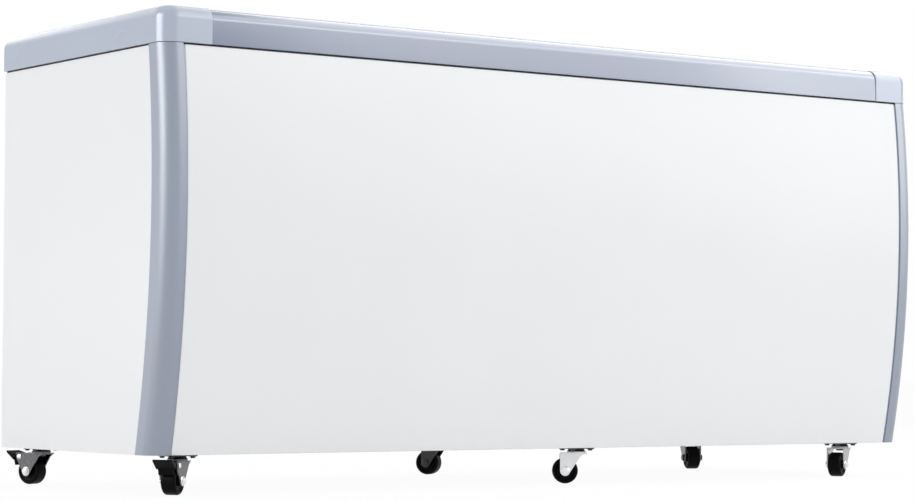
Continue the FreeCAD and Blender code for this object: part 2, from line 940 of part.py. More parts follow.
def lid_glass_pane(x0, x1, z, clearance=0.0):
    """Pane of one lid; clearance deepens the groove that it makes in the runners."""
    middle = z + lid_height / 2
    bite = lid_bite + clearance
    return box(
        x0 + lid_end_bar - lid_bite, x1 - lid_end_bar + lid_bite,
        lid_front + lid_runner - bite, lid_back - lid_runner + bite,
        middle - lid_glass / 2, middle + lid_glass / 2,
    )


def lid_frame(x0, x1, z, grip_x, grip_rise):
    """Four bars grooved for the glass; the bar at grip_x has a finger ridge on top."""
    z1 = z + lid_height
    low, high = z + runner_reveal, z1 - runner_reveal
    left, right = x0 + lid_end_bar, x1 - lid_end_bar
    ends = [
        box(x0, left, lid_front, lid_back, z, z1),
        box(right, x1, lid_front, lid_back, z, z1),
    ]
    runners = [
        box(left, right, lid_front, lid_front + lid_runner, low, high),
        box(left, right, lid_back - lid_runner, lid_back, low, high),
    ]
    ridge = box(
        grip_x - grip_width / 2, grip_x + grip_width / 2,
        liner_middle - grip_length / 2, liner_middle + grip_length / 2, z1 - over, z1 + grip_rise,
    )
    held = 0 if near(grip_x, x0 + lid_end_bar / 2) else 1
    ends[held] = joined([ends[held], ridge])
    pane = lid_glass_pane(x0, x1, z)
    groove = lid_glass_pane(x0, x1, z, groove_clearance)
    return [bar.cut(pane) for bar in ends] + [bar.cut(groove) for bar in runners]


# Machine space
def mount_places():
    dx = foot_plate_length / 2 - mount_radius
    dy = foot_plate_width / 2 - mount_radius
    return [(compressor_x + a * dx, compressor_y + b * dy) for a in (-1, 1) for b in (-1, 1)]


def compressor():
    """Hermetic shell with a welded seam, on a foot plate, with its terminal box."""
    def can(inset):
        low = compressor_z + inset
        high = compressor_z + compressor_height - inset
        body = rod(compressor_radius - inset, high - low, Vector(compressor_x, compressor_y, low))
        rims = edges_where(body, lambda p: near(p.z, low) or near(p.z, high))
        return body.makeFillet(compressor_dome - inset, rims)

    seam = rod(
        compressor_radius + compressor_seam, compressor_seam,
        Vector(compressor_x, compressor_y, compressor_z + compressor_height / 2),
    )
    half_l = foot_plate_length / 2
    half_w = foot_plate_width / 2
    plate = box(
        compressor_x - half_l, compressor_x + half_l, compressor_y - half_w, compressor_y + half_w,
        compressor_z - foot_plate_sheet, compressor_z + over,
    )
    for x, y in mount_places():
        plate = plate.cut(rod(mount_stud_radius + fit_gap, compressor_height, Vector(x, y, base_z)))
    terminals = box(
        compressor_x - compressor_radius / 2, compressor_x + compressor_radius / 2,
        compressor_y, compressor_y + compressor_radius + 4 * compressor_seam,
        compressor_z + compressor_dome, compressor_z + compressor_height / 2 - compressor_seam,
    )
    out_x, out_y, stub_z = discharge_stub()
    depth = compressor_radius / 2
    discharge = rod(stub_radius, depth, Vector(out_x, out_y + depth, stub_z), -Y)
    in_x, in_y = suction_stub()
    suction = rod(stub_radius, depth, Vector(in_x - depth, in_y, stub_z), X)
    whole = joined([can(0), seam, plate, terminals, discharge, suction])
    return whole.cut(can(compressor_wall))


def discharge_stub():
    """End of the short outlet on the shell, where the discharge line is brazed in."""
    x = compressor_x + compressor_radius / 3
    y = compressor_y - compressor_radius - stub_length
    return x, y, compressor_z + stub_height


def suction_stub():
    return compressor_x + compressor_radius + stub_length, compressor_y


def compressor_mounts():
    """Four rubber sleeves, each round a stud that stands on the base pan."""
    mounts = []
    for x, y in mount_places():
        base = Vector(x, y, machine_floor)
        mounts.append(tube(mount_radius, mount_stud_radius + fit_gap, mount_height, base))
        mounts.append(rod(mount_stud_radius, mount_height + foot_plate_sheet + bolt_reach, base))
    return mounts


def condenser():
    """Finned block between two end plates that stand on the base pan."""
    plate = condenser_plate
    parts = [
        box(condenser_x0, condenser_x1, condenser_y0, condenser_y0 + plate, machine_floor, condenser_z1),
        box(condenser_x0, condenser_x1, condenser_y1 - plate, condenser_y1, machine_floor, condenser_z1),
    ]
    middle_x = (condenser_x0 + condenser_x1) / 2
    core = condenser_depth / 4
    parts.append(box(
        middle_x - core, middle_x + core, condenser_y0, condenser_y1, condenser_z0, condenser_z1
    ))
    y = condenser_y0 + condenser_fin_pitch
    while y + condenser_fin_sheet < condenser_y1 - plate:
        parts.append(box(condenser_x0, condenser_x1, y, y + condenser_fin_sheet, condenser_z0, condenser_z1))
        y = y + condenser_fin_pitch
    return joined(parts)


def fan_shroud():
    """Plate with a collar round the fan, and three arms that carry the motor."""
    plate = box(fan_plate_x, condenser_x0, condenser_y0, condenser_y1, condenser_z0, condenser_z1)
    centre = Vector(fan_plate_x, fan_y, fan_z)
    bore = fan_radius + fan_tip_gap
    plate = plate.cut(rod(bore, 2 * over + fan_plate_sheet, centre - X * over, X))
    collar = tube(bore + fan_plate_sheet, bore, fan_collar_depth, centre - X * fan_collar_depth, X)
    clamp_x = motor_x0 + motor_length / 2
    clamp = tube(
        motor_radius + fan_plate_sheet + fit_gap, motor_radius, fan_collar_depth,
        Vector(clamp_x, fan_y, fan_z), X,
    )
    arm_reach = bore + 2 * fan_plate_sheet
    half = fan_collar_depth / 2
    arms = []
    for turn in (30, 150, 270):
        radial = box(
            clamp_x, clamp_x + fan_plate_sheet, motor_radius + fan_plate_sheet / 2,
            arm_reach + fan_plate_sheet, -half, half,
        )
        leg = box(clamp_x, fan_plate_x + over, arm_reach, arm_reach + fan_plate_sheet, -half, half)
        arm = joined([radial, leg])
        arm.rotate(Vector(0, 0, 0), X, turn)
        arm.translate(Vector(0, fan_y, fan_z))
        arms.append(arm)
    return joined([plate, collar, clamp] + arms)


def fan_motor():
    body = rod(motor_radius, motor_length, Vector(motor_x0, fan_y, fan_z), X)
    shaft = rod(fan_shaft_radius, fan_x1 - motor_x1, Vector(motor_x1 - over, fan_y, fan_z), X)
    return joined([body, shaft])


def fan_blade():
    hub = rod(fan_hub_radius, fan_depth, Vector(fan_x0, fan_y, fan_z), X)
    middle = (fan_x0 + fan_x1) / 2
    chord = fan_depth / math.sin(math.radians(fan_pitch_angle))
    blades = []
    for k in range(fan_blade_count):
        blade = box(
            -fan_blade_sheet / 2, fan_blade_sheet / 2, -chord / 2, chord / 2,
            fan_hub_radius - 2 * over, fan_radius,
        )
        blade.rotate(Vector(0, 0, 0), Z, -fan_pitch_angle)
        blade.rotate(Vector(0, 0, 0), X, 360 * k / fan_blade_count)
        blade.translate(Vector(middle, fan_y, fan_z))
        blades.append(blade)
    swept = rod(fan_radius, fan_depth, Vector(fan_x0, fan_y, fan_z), X)
    rotor = joined([hub] + blades).common(swept)
    bore = rod(fan_shaft_radius + running_gap, fan_depth + 2 * over, Vector(fan_x0 - over, fan_y, fan_z), X)
    return rotor.cut(bore)


def filter_drier():
    shell = rod(drier_radius, drier_length, Vector(drier_x, drier_y, drier_z))
    ends = edges_where(shell, lambda p: near(p.z, drier_z) or near(p.z, drier_z + drier_length))
    return shell.makeFillet(drier_radius / 2, ends)


def refrigerant_lines():
    """Discharge, liquid, capillary and suction tubes, each one bent length."""
    tube_x = (condenser_x0 + condenser_x1) / 2
    lane_y = condenser_y1 + 2 * line_bend
    high = condenser_z1 - 2 * line_bend
    low = condenser_z0 + line_bend
    out_x, out_y, shell_z = discharge_stub()
    in_x, in_y = suction_stub()
    discharge = [
        Vector(out_x, out_y, shell_z),
        Vector(out_x, lane_y, shell_z),
        Vector(out_x, lane_y, high),
        Vector(tube_x, lane_y, high),
        Vector(tube_x, condenser_y1, high),
    ]
    liquid = [
        Vector(tube_x, condenser_y1, low),
        Vector(tube_x, lane_y, low),
        Vector(drier_x, lane_y, low),
        Vector(drier_x, drier_y, low),
        Vector(drier_x, drier_y, drier_z),
    ]
    first = coil_levels()[0]
    roof = machine_top - 2 * line_bend
    capillary = [
        Vector(drier_x, drier_y, drier_z + drier_length),
        Vector(drier_x, drier_y, roof),
        Vector(drier_x, coil_y_back, roof),
        Vector(drier_x, coil_y_back, first),
        Vector(machine_x + line_bend, coil_y_back, first),
    ]
    suction = [
        Vector(coil_return_x, compressor_y, machine_top - line_bend),
        Vector(coil_return_x, compressor_y, shell_z),
        Vector(in_x, in_y, shell_z),
    ]
    return [
        bent_tube(discharge, line_bend, line_radius),
        bent_tube(liquid, line_bend, line_radius),
        bent_tube(capillary, line_bend, capillary_radius),
        bent_tube(suction, line_bend, line_radius),
    ]


# Controls
knob_x = control_x - control_width / 4
switch_x = control_x + control_width / 4
knob_y = control_floor + control_wall + fit_gap
switch_y = control_floor + control_wall + switch_depth / 2


def control_panel():
    """Shallow tray in the machine cover, with the thermostat body behind it."""
    half_w = control_width / 2
    half_h = control_height / 2
    tray = box(
        control_x - half_w, control_x + half_w, control_floor, back_y + control_flange_sheet,
        control_z - half_h, control_z + half_h,
    )
    flange = box(
        control_x - half_w - control_flange, control_x + half_w + control_flange,
        back_y, back_y + control_flange_sheet,
        control_z - half_h - control_flange, control_z + half_h + control_flange,
    )
    inside = box(
        control_x - half_w + control_wall, control_x + half_w - control_wall,
        control_floor + control_wall, back_y + 2 * over,
        control_z - half_h + control_wall, control_z + half_h - control_wall,
    )
    thermostat = box(
        knob_x - knob_radius, knob_x + knob_radius, control_floor - thermostat_depth, control_floor,
        control_z - knob_radius, control_z + knob_radius,
    )
    panel = joined([tray, flange, thermostat]).cut(inside)
    spindle = rod(knob_spindle_radius, knob_height, Vector(knob_x, control_floor, control_z), Y)
    ears = []
    for side in (-1, 1):
        x0 = switch_x + side * (switch_width / 2 + fit_gap + control_wall / 2) - control_wall / 2
        ears.append(box(
            x0, x0 + control_wall, control_floor, switch_y + 2 * switch_pivot_radius,
            control_z - 3 * switch_pivot_radius, control_z + 3 * switch_pivot_radius,
        ))
    panel = joined([panel, spindle] + ears)
    length = switch_width + 4 * control_wall
    pivot = rod(
        switch_pivot_radius + running_gap, length, Vector(switch_x - length / 2, switch_y, control_z), X
    )
    panel = panel.cut(pivot)
    for x, z in control_screw_places():
        panel = panel.cut(rod(screw_radius + fit_gap, 4 * over, Vector(x, back_y - over, z), Y))
    return panel


def thermostat_knob():
    """Round knob with a pointer rib, turning on the thermostat spindle."""
    base = Vector(knob_x, knob_y, control_z)
    knob = rod(knob_radius, knob_height, base, Y)
    rim = edges_where(knob, lambda p: near(p.y, knob_y + knob_height))
    knob = knob.makeFillet(knob_height / 8, rim)
    rib = box(
        knob_x - control_wall / 2, knob_x + control_wall / 2, knob_y + knob_height / 2,
        knob_y + knob_height + control_wall / 2, control_z, control_z + knob_radius,
    )
    knob = joined([knob, rib])
    return knob.cut(rod(
        knob_spindle_radius + running_gap, knob_height - control_wall + fit_gap, base - Y * fit_gap, Y
    ))


def power_switch():
    """Rocker with its two faces at a shallow angle, on a pivot pin through the ears."""
    half = switch_height / 2
    back = switch_y - switch_pivot_radius - over / 2
    face = switch_y + switch_depth / 2
    points = [
        Vector(switch_x - switch_width / 2, back, control_z - half / 3),
        Vector(switch_x - switch_width / 2, switch_y, control_z - half),
        Vector(switch_x - switch_width / 2, face + control_wall, control_z - half),
        Vector(switch_x - switch_width / 2, face, control_z),
        Vector(switch_x - switch_width / 2, face + control_wall / 2, control_z + half),
        Vector(switch_x - switch_width / 2, switch_y, control_z + half),
        Vector(switch_x - switch_width / 2, back, control_z + half / 3),
    ]
    rocker = prism(points, X * switch_width)
    length = switch_width + 2 * control_wall
    pin = rod(switch_pivot_radius, length, Vector(switch_x - length / 2, switch_y, control_z), X)
    return joined([rocker, pin])


def cord_gland():
    """Bushing in the machine cover where the supply lead would enter."""
    gx, gz = gland_place()
    at = Vector(gx, back_y, gz)
    flange = rod(gland_radius, gland_flange, at, Y)
    neck = rod(gland_neck_radius, gland_neck, at - Y * gland_neck, Y)
    bore = rod(gland_bore, gland_neck + gland_flange + 2 * over, at - Y * (gland_neck + over), Y)
    return joined([flange, neck]).cut(bore)


def side_vent_grille():
    """Slotted cover pressed into the air opening of the right side panel by the lip behind it."""
    def block(half, x0, x1):
        return box(x0, x1, fan_y - half, fan_y + half, fan_z - half, fan_z + half)

    lip = grille_hole / 2 - fit_gap
    plate = block(grille_size / 2, side_x, side_x + grille_sheet)
    ring = block(lip, side_x - grille_lip_depth, side_x)
    ring = ring.cut(block(lip - grille_lip, side_x - grille_lip_depth - over, side_x + over))
    plate = joined([plate, ring])
    slot_half = grille_hole / 2 - grille_bar
    z = fan_z - slot_half
    while z + grille_slot <= fan_z + slot_half:
        plate = plate.cut(box(
            side_x - over, side_x + grille_sheet + over,
            fan_y - slot_half, fan_y - grille_bar / 2, z, z + grille_slot,
        ))
        plate = plate.cut(box(
            side_x - over, side_x + grille_sheet + over,
            fan_y + grille_bar / 2, fan_y + slot_half, z, z + grille_slot,
        ))
        z = z + grille_slot + grille_bar
    return plate


def panel_screws():
    screws = []
    for x, z in cover_screw_places():
        screws.append(screw(Vector(x, back_y, z), Y))
    for x, z in control_screw_places():
        screws.append(screw(Vector(x, back_y + control_flange_sheet, z), Y))
    return screws


# Casters, each built with its kingpin on Z and its wheel trailing along +X
def plate_bolt_places(x, y):
    dx = plate_length / 2 - plate_bolt_inset
    dy = plate_width / 2 - plate_bolt_inset
    return [(x + a * dx, y + b * dy) for a in (-1, 1) for b in (-1, 1)]


def caster_plate(x, y):
    """Top plate with its pressed race and the riveted kingpin."""
    plate = box(
        x - plate_length / 2, x + plate_length / 2, y - plate_width / 2, y + plate_width / 2,
        plate_z, base_z,
    )
    upright = [e for e in plate.Edges if near(abs(e.tangentAt(e.FirstParameter).z), 1)]
    plate = plate.makeFillet(plate_corner_radius, upright)
    for bx, by in plate_bolt_places(x, y):
        plate = plate.cut(rod(bolt_radius + bolt_clearance, 2 * caster_height, Vector(bx, by, 0)))
    race = Part.makeCone(
        race_outer_radius, race_inner_radius + plate_sheet, race_height, Vector(x, y, race_z)
    )
    head_z = crown_z - fit_gap - kingpin_head
    pin = rod(kingpin_radius, plate_z - head_z, Vector(x, y, head_z))
    head = rod(kingpin_head_radius, kingpin_head, Vector(x, y, head_z))
    head = head.makeFillet(kingpin_head / 2, edges_where(head, lambda p: near(p.z, head_z)))
    return joined([plate, race, pin, head])


def caster_bolts(x, y):
    bolts = []
    for bx, by in plate_bolt_places(x, y):
        head = hexagon(bolt_head_radius, bolt_head, Vector(bx, by, plate_z - bolt_head), Z)
        shank = rod(bolt_radius, plate_sheet + base_sheet + bolt_reach, Vector(bx, by, plate_z))
        bolts.append(joined([head, shank]))
    return bolts


def fork(braked):
    """Pressed fork: a crown with a ball race and two legs down to the axle."""
    boss = fork_boss_radius
    toe_turn = math.radians(fork_toe_angle)
    rear = brake_x + brake_boss_radius + fork_sheet if braked else trail + boss
    crown = rod(fork_crown_radius, fork_sheet, Vector(0, 0, crown_z))
    bridge = box(0, trail + boss, -fork_half, fork_half, crown_z, crown_top)
    race = tube(race_outer_radius, race_inner_radius, race_ring, Vector(0, 0, crown_top))
    solids = [crown, bridge, race]
    for y0 in (-fork_half, fork_half - fork_sheet):
        heel = Vector(trail + boss, y0, wheel_radius)
        toe = Vector(trail - boss * math.cos(toe_turn), y0, wheel_radius - boss * math.sin(toe_turn))
        lowest = Vector(trail, y0, wheel_radius - boss)
        points = [Vector(rear, y0, crown_top)]
        if braked:
            points.append(Vector(rear, y0, brake_z - brake_boss_radius / 2))
        points.append(heel)
        points.append((lowest, toe))
        points.append(Vector(boss - fork_nose, y0, crown_z - fork_throat))
        points.append(Vector(-fork_nose, y0, crown_top))
        solids.append(prism(points, Y * fork_sheet))
    whole = joined(solids)
    whole = whole.cut(rod(kingpin_radius + running_gap, caster_height, Vector(0, 0, crown_z - over)))
    across = Vector(trail, -2 * fork_half, wheel_radius)
    whole = whole.cut(rod(axle_radius + running_gap, 4 * fork_half, across, Y))
    if braked:
        across = Vector(brake_x, -2 * fork_half, brake_z)
        whole = whole.cut(rod(brake_pivot_radius + running_gap, 4 * fork_half, across, Y))
    return whole


def wheel():
    """Tyre and hub turned as one profile, dished on both faces."""
    half = wheel_width / 2
    hub = fork_gap / 2 - fit_gap
    bore = axle_radius + running_gap
    r = wheel_radius
    s = wheel_shoulder
    turn = s * (1 - math.sqrt(0.5))

    def at(radius, y):
        return Vector(radius, y, 0)

    points = [
        at(bore, -hub),
        at(wheel_hub_radius, -hub),
        at(wheel_hub_radius, -half + wheel_dish),
        at(wheel_rim_radius, -half + wheel_dish),
        at(wheel_rim_radius + wheel_dish / 2, -half),
        at(r - s, -half),
        (at(r - turn, -half + turn), at(r, -half + s)),
        at(r, half - s),
        (at(r - turn, half - turn), at(r - s, half)),
        at(wheel_rim_radius + wheel_dish / 2, half),
        at(wheel_rim_radius, half - wheel_dish),
        at(wheel_hub_radius, half - wheel_dish),
        at(wheel_hub_radius, hub),
        at(bore, hub),
    ]
    tyre = Part.Face(outline(points)).revolve(Vector(0, 0, 0), Y, 360)
    tyre.translate(Vector(trail, 0, wheel_radius))
    return tyre


def axle():
    """Axle bolt with a hexagonal head on one side and a nut on the other."""
    reach = fork_half + axle_head
    pin = rod(axle_radius, 2 * reach + axle_end, Vector(trail, -reach, wheel_radius), Y)
    head = hexagon(axle_head_radius, axle_head, Vector(trail, -reach, wheel_radius), Y)
    nut = hexagon(axle_head_radius, axle_head, Vector(trail, fork_half, wheel_radius), Y)
    return joined([pin, head, nut])


def brake():
    """Foot pedal with an apron in front of the wheel, its shoe and the pin it rocks on."""
    half = fork_gap / 2 - fit_gap
    pin_half = fork_half + brake_pin_end
    pin = rod(brake_pivot_radius, 2 * pin_half, Vector(brake_x, -pin_half, brake_z), Y)
    boss = rod(brake_boss_radius, 2 * half, Vector(brake_x, -half, brake_z), Y)
    sheet = brake_pedal_sheet
    neck_x = brake_x + brake_boss_radius + fork_sheet + fit_gap
    tip_x = brake_x + brake_pedal_reach
    tip_z = brake_z + brake_pedal_lift
    neck_z = brake_z + brake_pedal_lift * (neck_x - brake_x) / brake_pedal_reach

    def slab(x0, z0, x1, z1, wide, root):
        return prism(
            [
                Vector(x0 + root - sheet / 2, -wide, z0 - root),
                Vector(x1, -wide, z1 - sheet / 2),
                Vector(x1, -wide, z1 + sheet / 2),
                Vector(x0, -wide, z0 + sheet / 2),
            ],
            Y * (2 * wide),
        )

    arm = slab(brake_x, brake_z, tip_x, tip_z, half, sheet / 2)
    pedal = slab(neck_x, neck_z, tip_x, tip_z, brake_pedal_width / 2, brake_pedal_root)
    apron_half = brake_apron_width / 2
    apron_x = brake_x + brake_apron_out
    apron_z = brake_z - brake_apron_drop
    apron = prism(
        [
            Vector(neck_x, -apron_half, neck_z),
            Vector(apron_x + brake_pedal_root / 2, -apron_half, neck_z),
            Vector(apron_x, -apron_half, apron_z),
            Vector(apron_x - brake_apron_sheet, -apron_half, apron_z),
        ],
        Y * brake_apron_width,
    )
    shoe_half = brake_shoe_width / 2
    reach = wheel_radius + brake_shoe_gap
    angle = math.radians(brake_shoe_angle)
    pivot = Vector(brake_x, -shoe_half, brake_z)
    nose = Vector(trail + reach * math.cos(angle), -shoe_half, wheel_radius + reach * math.sin(angle))
    across = (nose - pivot).cross(Y).normalize() * (brake_shoe_sheet / 2)
    shoe = prism([pivot + across, nose + across, nose - across, pivot - across], Y * brake_shoe_width)
    return joined([pin, boss, arm, pedal, apron, shoe])


def placed(shape, x, y, turn):
    copy = shape.copy()
    copy.rotate(Vector(0, 0, 0), Z, turn)
    copy.translate(Vector(x, y, 0))
    return copy


save("base_pan", base_pan())
save("left_side_panel", mirrored_x(side_panel()))
save("right_side_panel", right_side_panel())
save("back_panel", back_sheet(-side_x, machine_x))
save("machine_cover", machine_cover())
save("front_panel", front_panel())
save("left_corner_post", left_corner_post())
save("right_corner_post", mirrored_x(left_corner_post()))
save("left_top_cap", left_top_cap())
save("right_top_cap", mirrored_x(left_top_cap()))
save("front_top_rail", top_rail(frame_front, rail_front_inner))
save("back_top_rail", top_rail(frame_back, rail_back_inner))
save("frame_gasket", *frame_gasket())
save("inner_liner", *inner_liner())
save("drain_plug", drain_plug())
save("insulation_foam", foam())
save("evaporator_coil", evaporator_coil())
save("front_lid_track", lid_track(track_front, 1))
save("back_lid_track", lid_track(track_back, -1))
save("lid_bumpers", *lid_bumpers())

grip_inset = lid_end_bar / 2
low_grip = slot_play + track_web - grip_clearance
high_grip = frame_height - (high_lid + lid_height - frame_z) - cap_proud - grip_clearance
save("left_lid_glass", lid_glass_pane(-lid_end, lid_overlap / 2, low_lid))
save("left_lid_frame", *lid_frame(-lid_end, lid_overlap / 2, low_lid, -lid_end + grip_inset, low_grip))
save("right_lid_glass", lid_glass_pane(-lid_overlap / 2, lid_end, high_lid))
save("right_lid_frame", *lid_frame(-lid_overlap / 2, lid_end, high_lid, lid_end - grip_inset, high_grip))

save("compressor", compressor())
save("compressor_mounts", *compressor_mounts())
save("condenser", condenser())
save("fan_shroud", fan_shroud())
save("fan_motor", fan_motor())
save("fan_blade", fan_blade())
save("filter_drier", filter_drier())
save("refrigerant_lines", *refrigerant_lines())
save("control_panel", control_panel())
save("thermostat_knob", thermostat_knob())
save("power_switch", power_switch())
save("cord_gland", cord_gland())
save("side_vent_grille", side_vent_grille())
save("panel_screws", *panel_screws())

plates = []
bolts = []
for name, (x, y, turn, braked) in casters.items():
    plates.append(caster_plate(x, y))
    bolts.extend(caster_bolts(x, y))
    save(f"{name}_fork", placed(fork(braked), x, y, turn))
    save(f"{name}_wheel", placed(wheel(), x, y, turn))
    save(f"{name}_axle", placed(axle(), x, y, turn))
    if braked:
        save(f"{name}_brake", placed(brake(), x, y, turn))
save("caster_plates", *plates)
save("caster_bolts", *bolts)
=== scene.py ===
"""Looks of the ice cream display freezer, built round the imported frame. Lengths are in metres."""
import json
import math

import bmesh
import bpy
from mathutils import Matrix, Vector


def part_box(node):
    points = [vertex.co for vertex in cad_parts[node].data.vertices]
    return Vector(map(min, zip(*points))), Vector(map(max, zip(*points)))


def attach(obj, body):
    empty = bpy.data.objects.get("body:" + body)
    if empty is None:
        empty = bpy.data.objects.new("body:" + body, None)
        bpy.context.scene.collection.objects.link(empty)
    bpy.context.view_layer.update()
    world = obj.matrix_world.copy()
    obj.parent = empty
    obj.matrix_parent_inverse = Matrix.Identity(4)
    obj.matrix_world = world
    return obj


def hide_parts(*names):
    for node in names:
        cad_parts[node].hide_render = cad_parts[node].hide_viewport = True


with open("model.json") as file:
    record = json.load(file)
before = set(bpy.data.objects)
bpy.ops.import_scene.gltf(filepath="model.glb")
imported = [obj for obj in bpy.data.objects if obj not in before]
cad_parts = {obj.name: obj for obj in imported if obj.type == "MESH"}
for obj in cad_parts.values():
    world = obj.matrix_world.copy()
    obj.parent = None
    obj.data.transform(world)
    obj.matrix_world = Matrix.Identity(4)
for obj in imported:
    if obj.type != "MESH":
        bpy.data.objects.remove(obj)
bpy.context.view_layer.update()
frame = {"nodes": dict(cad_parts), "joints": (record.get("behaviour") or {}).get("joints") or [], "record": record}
scene = bpy.context.scene
nodes = frame["nodes"]
body_of_node = {
    node: body for body, members in frame["record"]["behaviour"]["bodies"].items() for node in members
}
slot_of_node = {part["node"]: part["material_slot"] for part in frame["record"]["subparts"]}
joints = {joint["name"]: joint for joint in frame["joints"]}

# Sizes read from the frame
base_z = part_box("front_panel")[0].z
panel_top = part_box("front_panel")[1].z
front_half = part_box("front_panel")[1].x
frame_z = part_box("left_top_cap")[0].z
top_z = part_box("left_top_cap")[1].z
frame_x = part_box("right_top_cap")[1].x
cap_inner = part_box("right_top_cap")[0].x
frame_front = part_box("left_top_cap")[0].y
frame_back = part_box("left_top_cap")[1].y
rail_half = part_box("front_top_rail")[1].x
rail_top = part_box("front_top_rail")[1].z
back_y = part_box("back_panel")[1].y
post_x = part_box("right_corner_post")[1].x
post_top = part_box("right_corner_post")[1].z
liner_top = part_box("inner_liner")[1].z

# Sizes that the boxes don't give
body_depth = 0.612
front_setback = 0.0355
front_sag = 0.030
panel_sheet = 0.001
panel_depth = 0.009
panel_fold = 0.0018
post_proud = 0.00145
post_wall = 0.0025
post_radius = 0.030
post_side = 0.0505
post_front = 0.041
post_lip = 0.0009
tongue_near = 0.0013
tongue_reach = 0.012
frame_foot = 0.019
frame_wall = 0.003
frame_round = 0.022
cap_corner = 0.0315
cap_back_corner = 0.002
frame_edge = 0.0005
frame_edge_angle = 50
rail_crown = 0.0010
flat_margin = 0.001

# How finely curved shapes are cut
arc_steps = 18
cap_back_steps = 6
crown_steps = 8
post_rows = 61
panel_rows = 73
panel_columns = 9
round_sides = 28

# Bow of the front, one arc from the foot to the underside of the top frame
body_height = frame_z - base_z
front_y = back_y - body_depth
bow_chord = math.hypot(body_height, front_setback)
bow_radius = (bow_chord ** 2 / 4 + front_sag ** 2) / (2 * front_sag)
bow_centre_z = base_z + body_height / 2 + (bow_radius - front_sag) * front_setback / bow_chord
bow_centre_y = front_y + front_setback / 2 + (bow_radius - front_sag) * body_height / bow_chord


def bow_y(z, inset=0.0):
    """Y of the front's face at height z; inset goes into the cabinet."""
    return bow_centre_y - math.sqrt((bow_radius - inset) ** 2 - (z - bow_centre_z) ** 2)


# Finishes
def finish(name, **sockets):
    """New material; each socket of its shader that is the same all over is set here."""
    material = bpy.data.materials.new(name)
    material.use_nodes = True
    shader = material.node_tree.nodes["Principled BSDF"]
    for label, value in sockets.items():
        shader.inputs[label.replace("_", " ")].default_value = value
    return material


def colour(red, green, blue):
    """Opaque colour from its linear parts."""
    return (red, green, blue, 1.0)


def texture(material, kind, output=0, stretch=(1, 1, 1), **settings):
    """Texture on the object's own coordinates; stretch scales each axis."""
    tree = material.node_tree
    place = tree.nodes.new("ShaderNodeTexCoord")
    mapping = tree.nodes.new("ShaderNodeMapping")
    mapping.inputs["Scale"].default_value = stretch
    pattern = tree.nodes.new(kind)
    for label, value in settings.items():
        if label == "feature":
            pattern.feature = value
        else:
            pattern.inputs[label.replace("_", " ")].default_value = value
    tree.links.new(place.outputs["Object"], mapping.inputs["Vector"])
    tree.links.new(mapping.outputs["Vector"], pattern.inputs["Vector"])
    return pattern.outputs[output]


def span(material, value, low, high, start=0.3, end=0.7):
    """Map a texture value between start and end to low and high."""
    node = material.node_tree.nodes.new("ShaderNodeMapRange")
    node.interpolation_type = "SMOOTHSTEP"
    for label, number in (("From Min", start), ("From Max", end), ("To Min", low), ("To Max", high)):
        node.inputs[label].default_value = number
    material.node_tree.links.new(value, node.inputs["Value"])
    return node.outputs["Result"]


def tint(material, value, first, second):
    """Base colour that drifts between two near colours."""
    tree = material.node_tree
    mix = tree.nodes.new("ShaderNodeMix")
    mix.data_type = "RGBA"
    mix.inputs[6].default_value = first
    mix.inputs[7].default_value = second
    tree.links.new(span(material, value, 0.0, 1.0), mix.inputs[0])
    tree.links.new(mix.outputs[2], tree.nodes["Principled BSDF"].inputs["Base Color"])


def gloss(material, value, low, high):
    """Roughness that drifts between two near values."""
    shader = material.node_tree.nodes["Principled BSDF"]
    material.node_tree.links.new(span(material, value, low, high), shader.inputs["Roughness"])


def relief(material, value, depth, strength=1.0):
    """Fine bump of a given depth in metres; several calls add up."""
    tree = material.node_tree
    shader = tree.nodes["Principled BSDF"]
    bump = tree.nodes.new("ShaderNodeBump")
    bump.inputs["Strength"].default_value = strength
    bump.inputs["Distance"].default_value = depth
    tree.links.new(value, bump.inputs["Height"])
    if shader.inputs["Normal"].is_linked:
        tree.links.new(shader.inputs["Normal"].links[0].from_socket, bump.inputs["Normal"])
    tree.links.new(bump.outputs["Normal"], shader.inputs["Normal"])


def white_enamel():
    """Smooth white paint of the steel panels."""
    material = finish("white_enamel", IOR=1.5, Specular_IOR_Level=0.14)
    drift = texture(material, "ShaderNodeTexNoise", Scale=3.0, Detail=2.0)
    tint(material, drift, colour(0.852, 0.857, 0.864), colour(0.860, 0.865, 0.871))
    gloss(material, texture(material, "ShaderNodeTexNoise", Scale=6.0, Detail=2.0), 0.30, 0.33)
    return material


def grey_moulding(name, base, rough, shine):
    """Smooth grey-blue plastic; shine is how much it mirrors."""
    material = finish(name, IOR=1.48, Specular_IOR_Level=shine)
    drift = texture(material, "ShaderNodeTexNoise", Scale=5.0, Detail=3.0)
    tint(material, drift, colour(*base), colour(*[1.015 * c for c in base]))
    gloss(material, texture(material, "ShaderNodeTexNoise", Scale=4.0, Detail=1.0), rough, rough + 0.015)
    return material


def plain_plastic(name, base, rough, grain=0.00002, lift=1.12, shine=0.5):
    """Moulded plastic with a fine grain; lift is how much paler it drifts, shine how much it mirrors."""
    material = finish(name, IOR=1.47, Specular_IOR_Level=shine)
    drift = texture(material, "ShaderNodeTexNoise", Scale=14.0, Detail=4.0)
    tint(material, drift, colour(*base), colour(*[min(1.0, c * lift) for c in base]))
    gloss(material, texture(material, "ShaderNodeTexNoise", Scale=90.0, Detail=5.0), rough, rough + 0.12)
    relief(material, texture(material, "ShaderNodeTexNoise", Scale=1400.0, Detail=2.0), grain, 0.6)
    return material


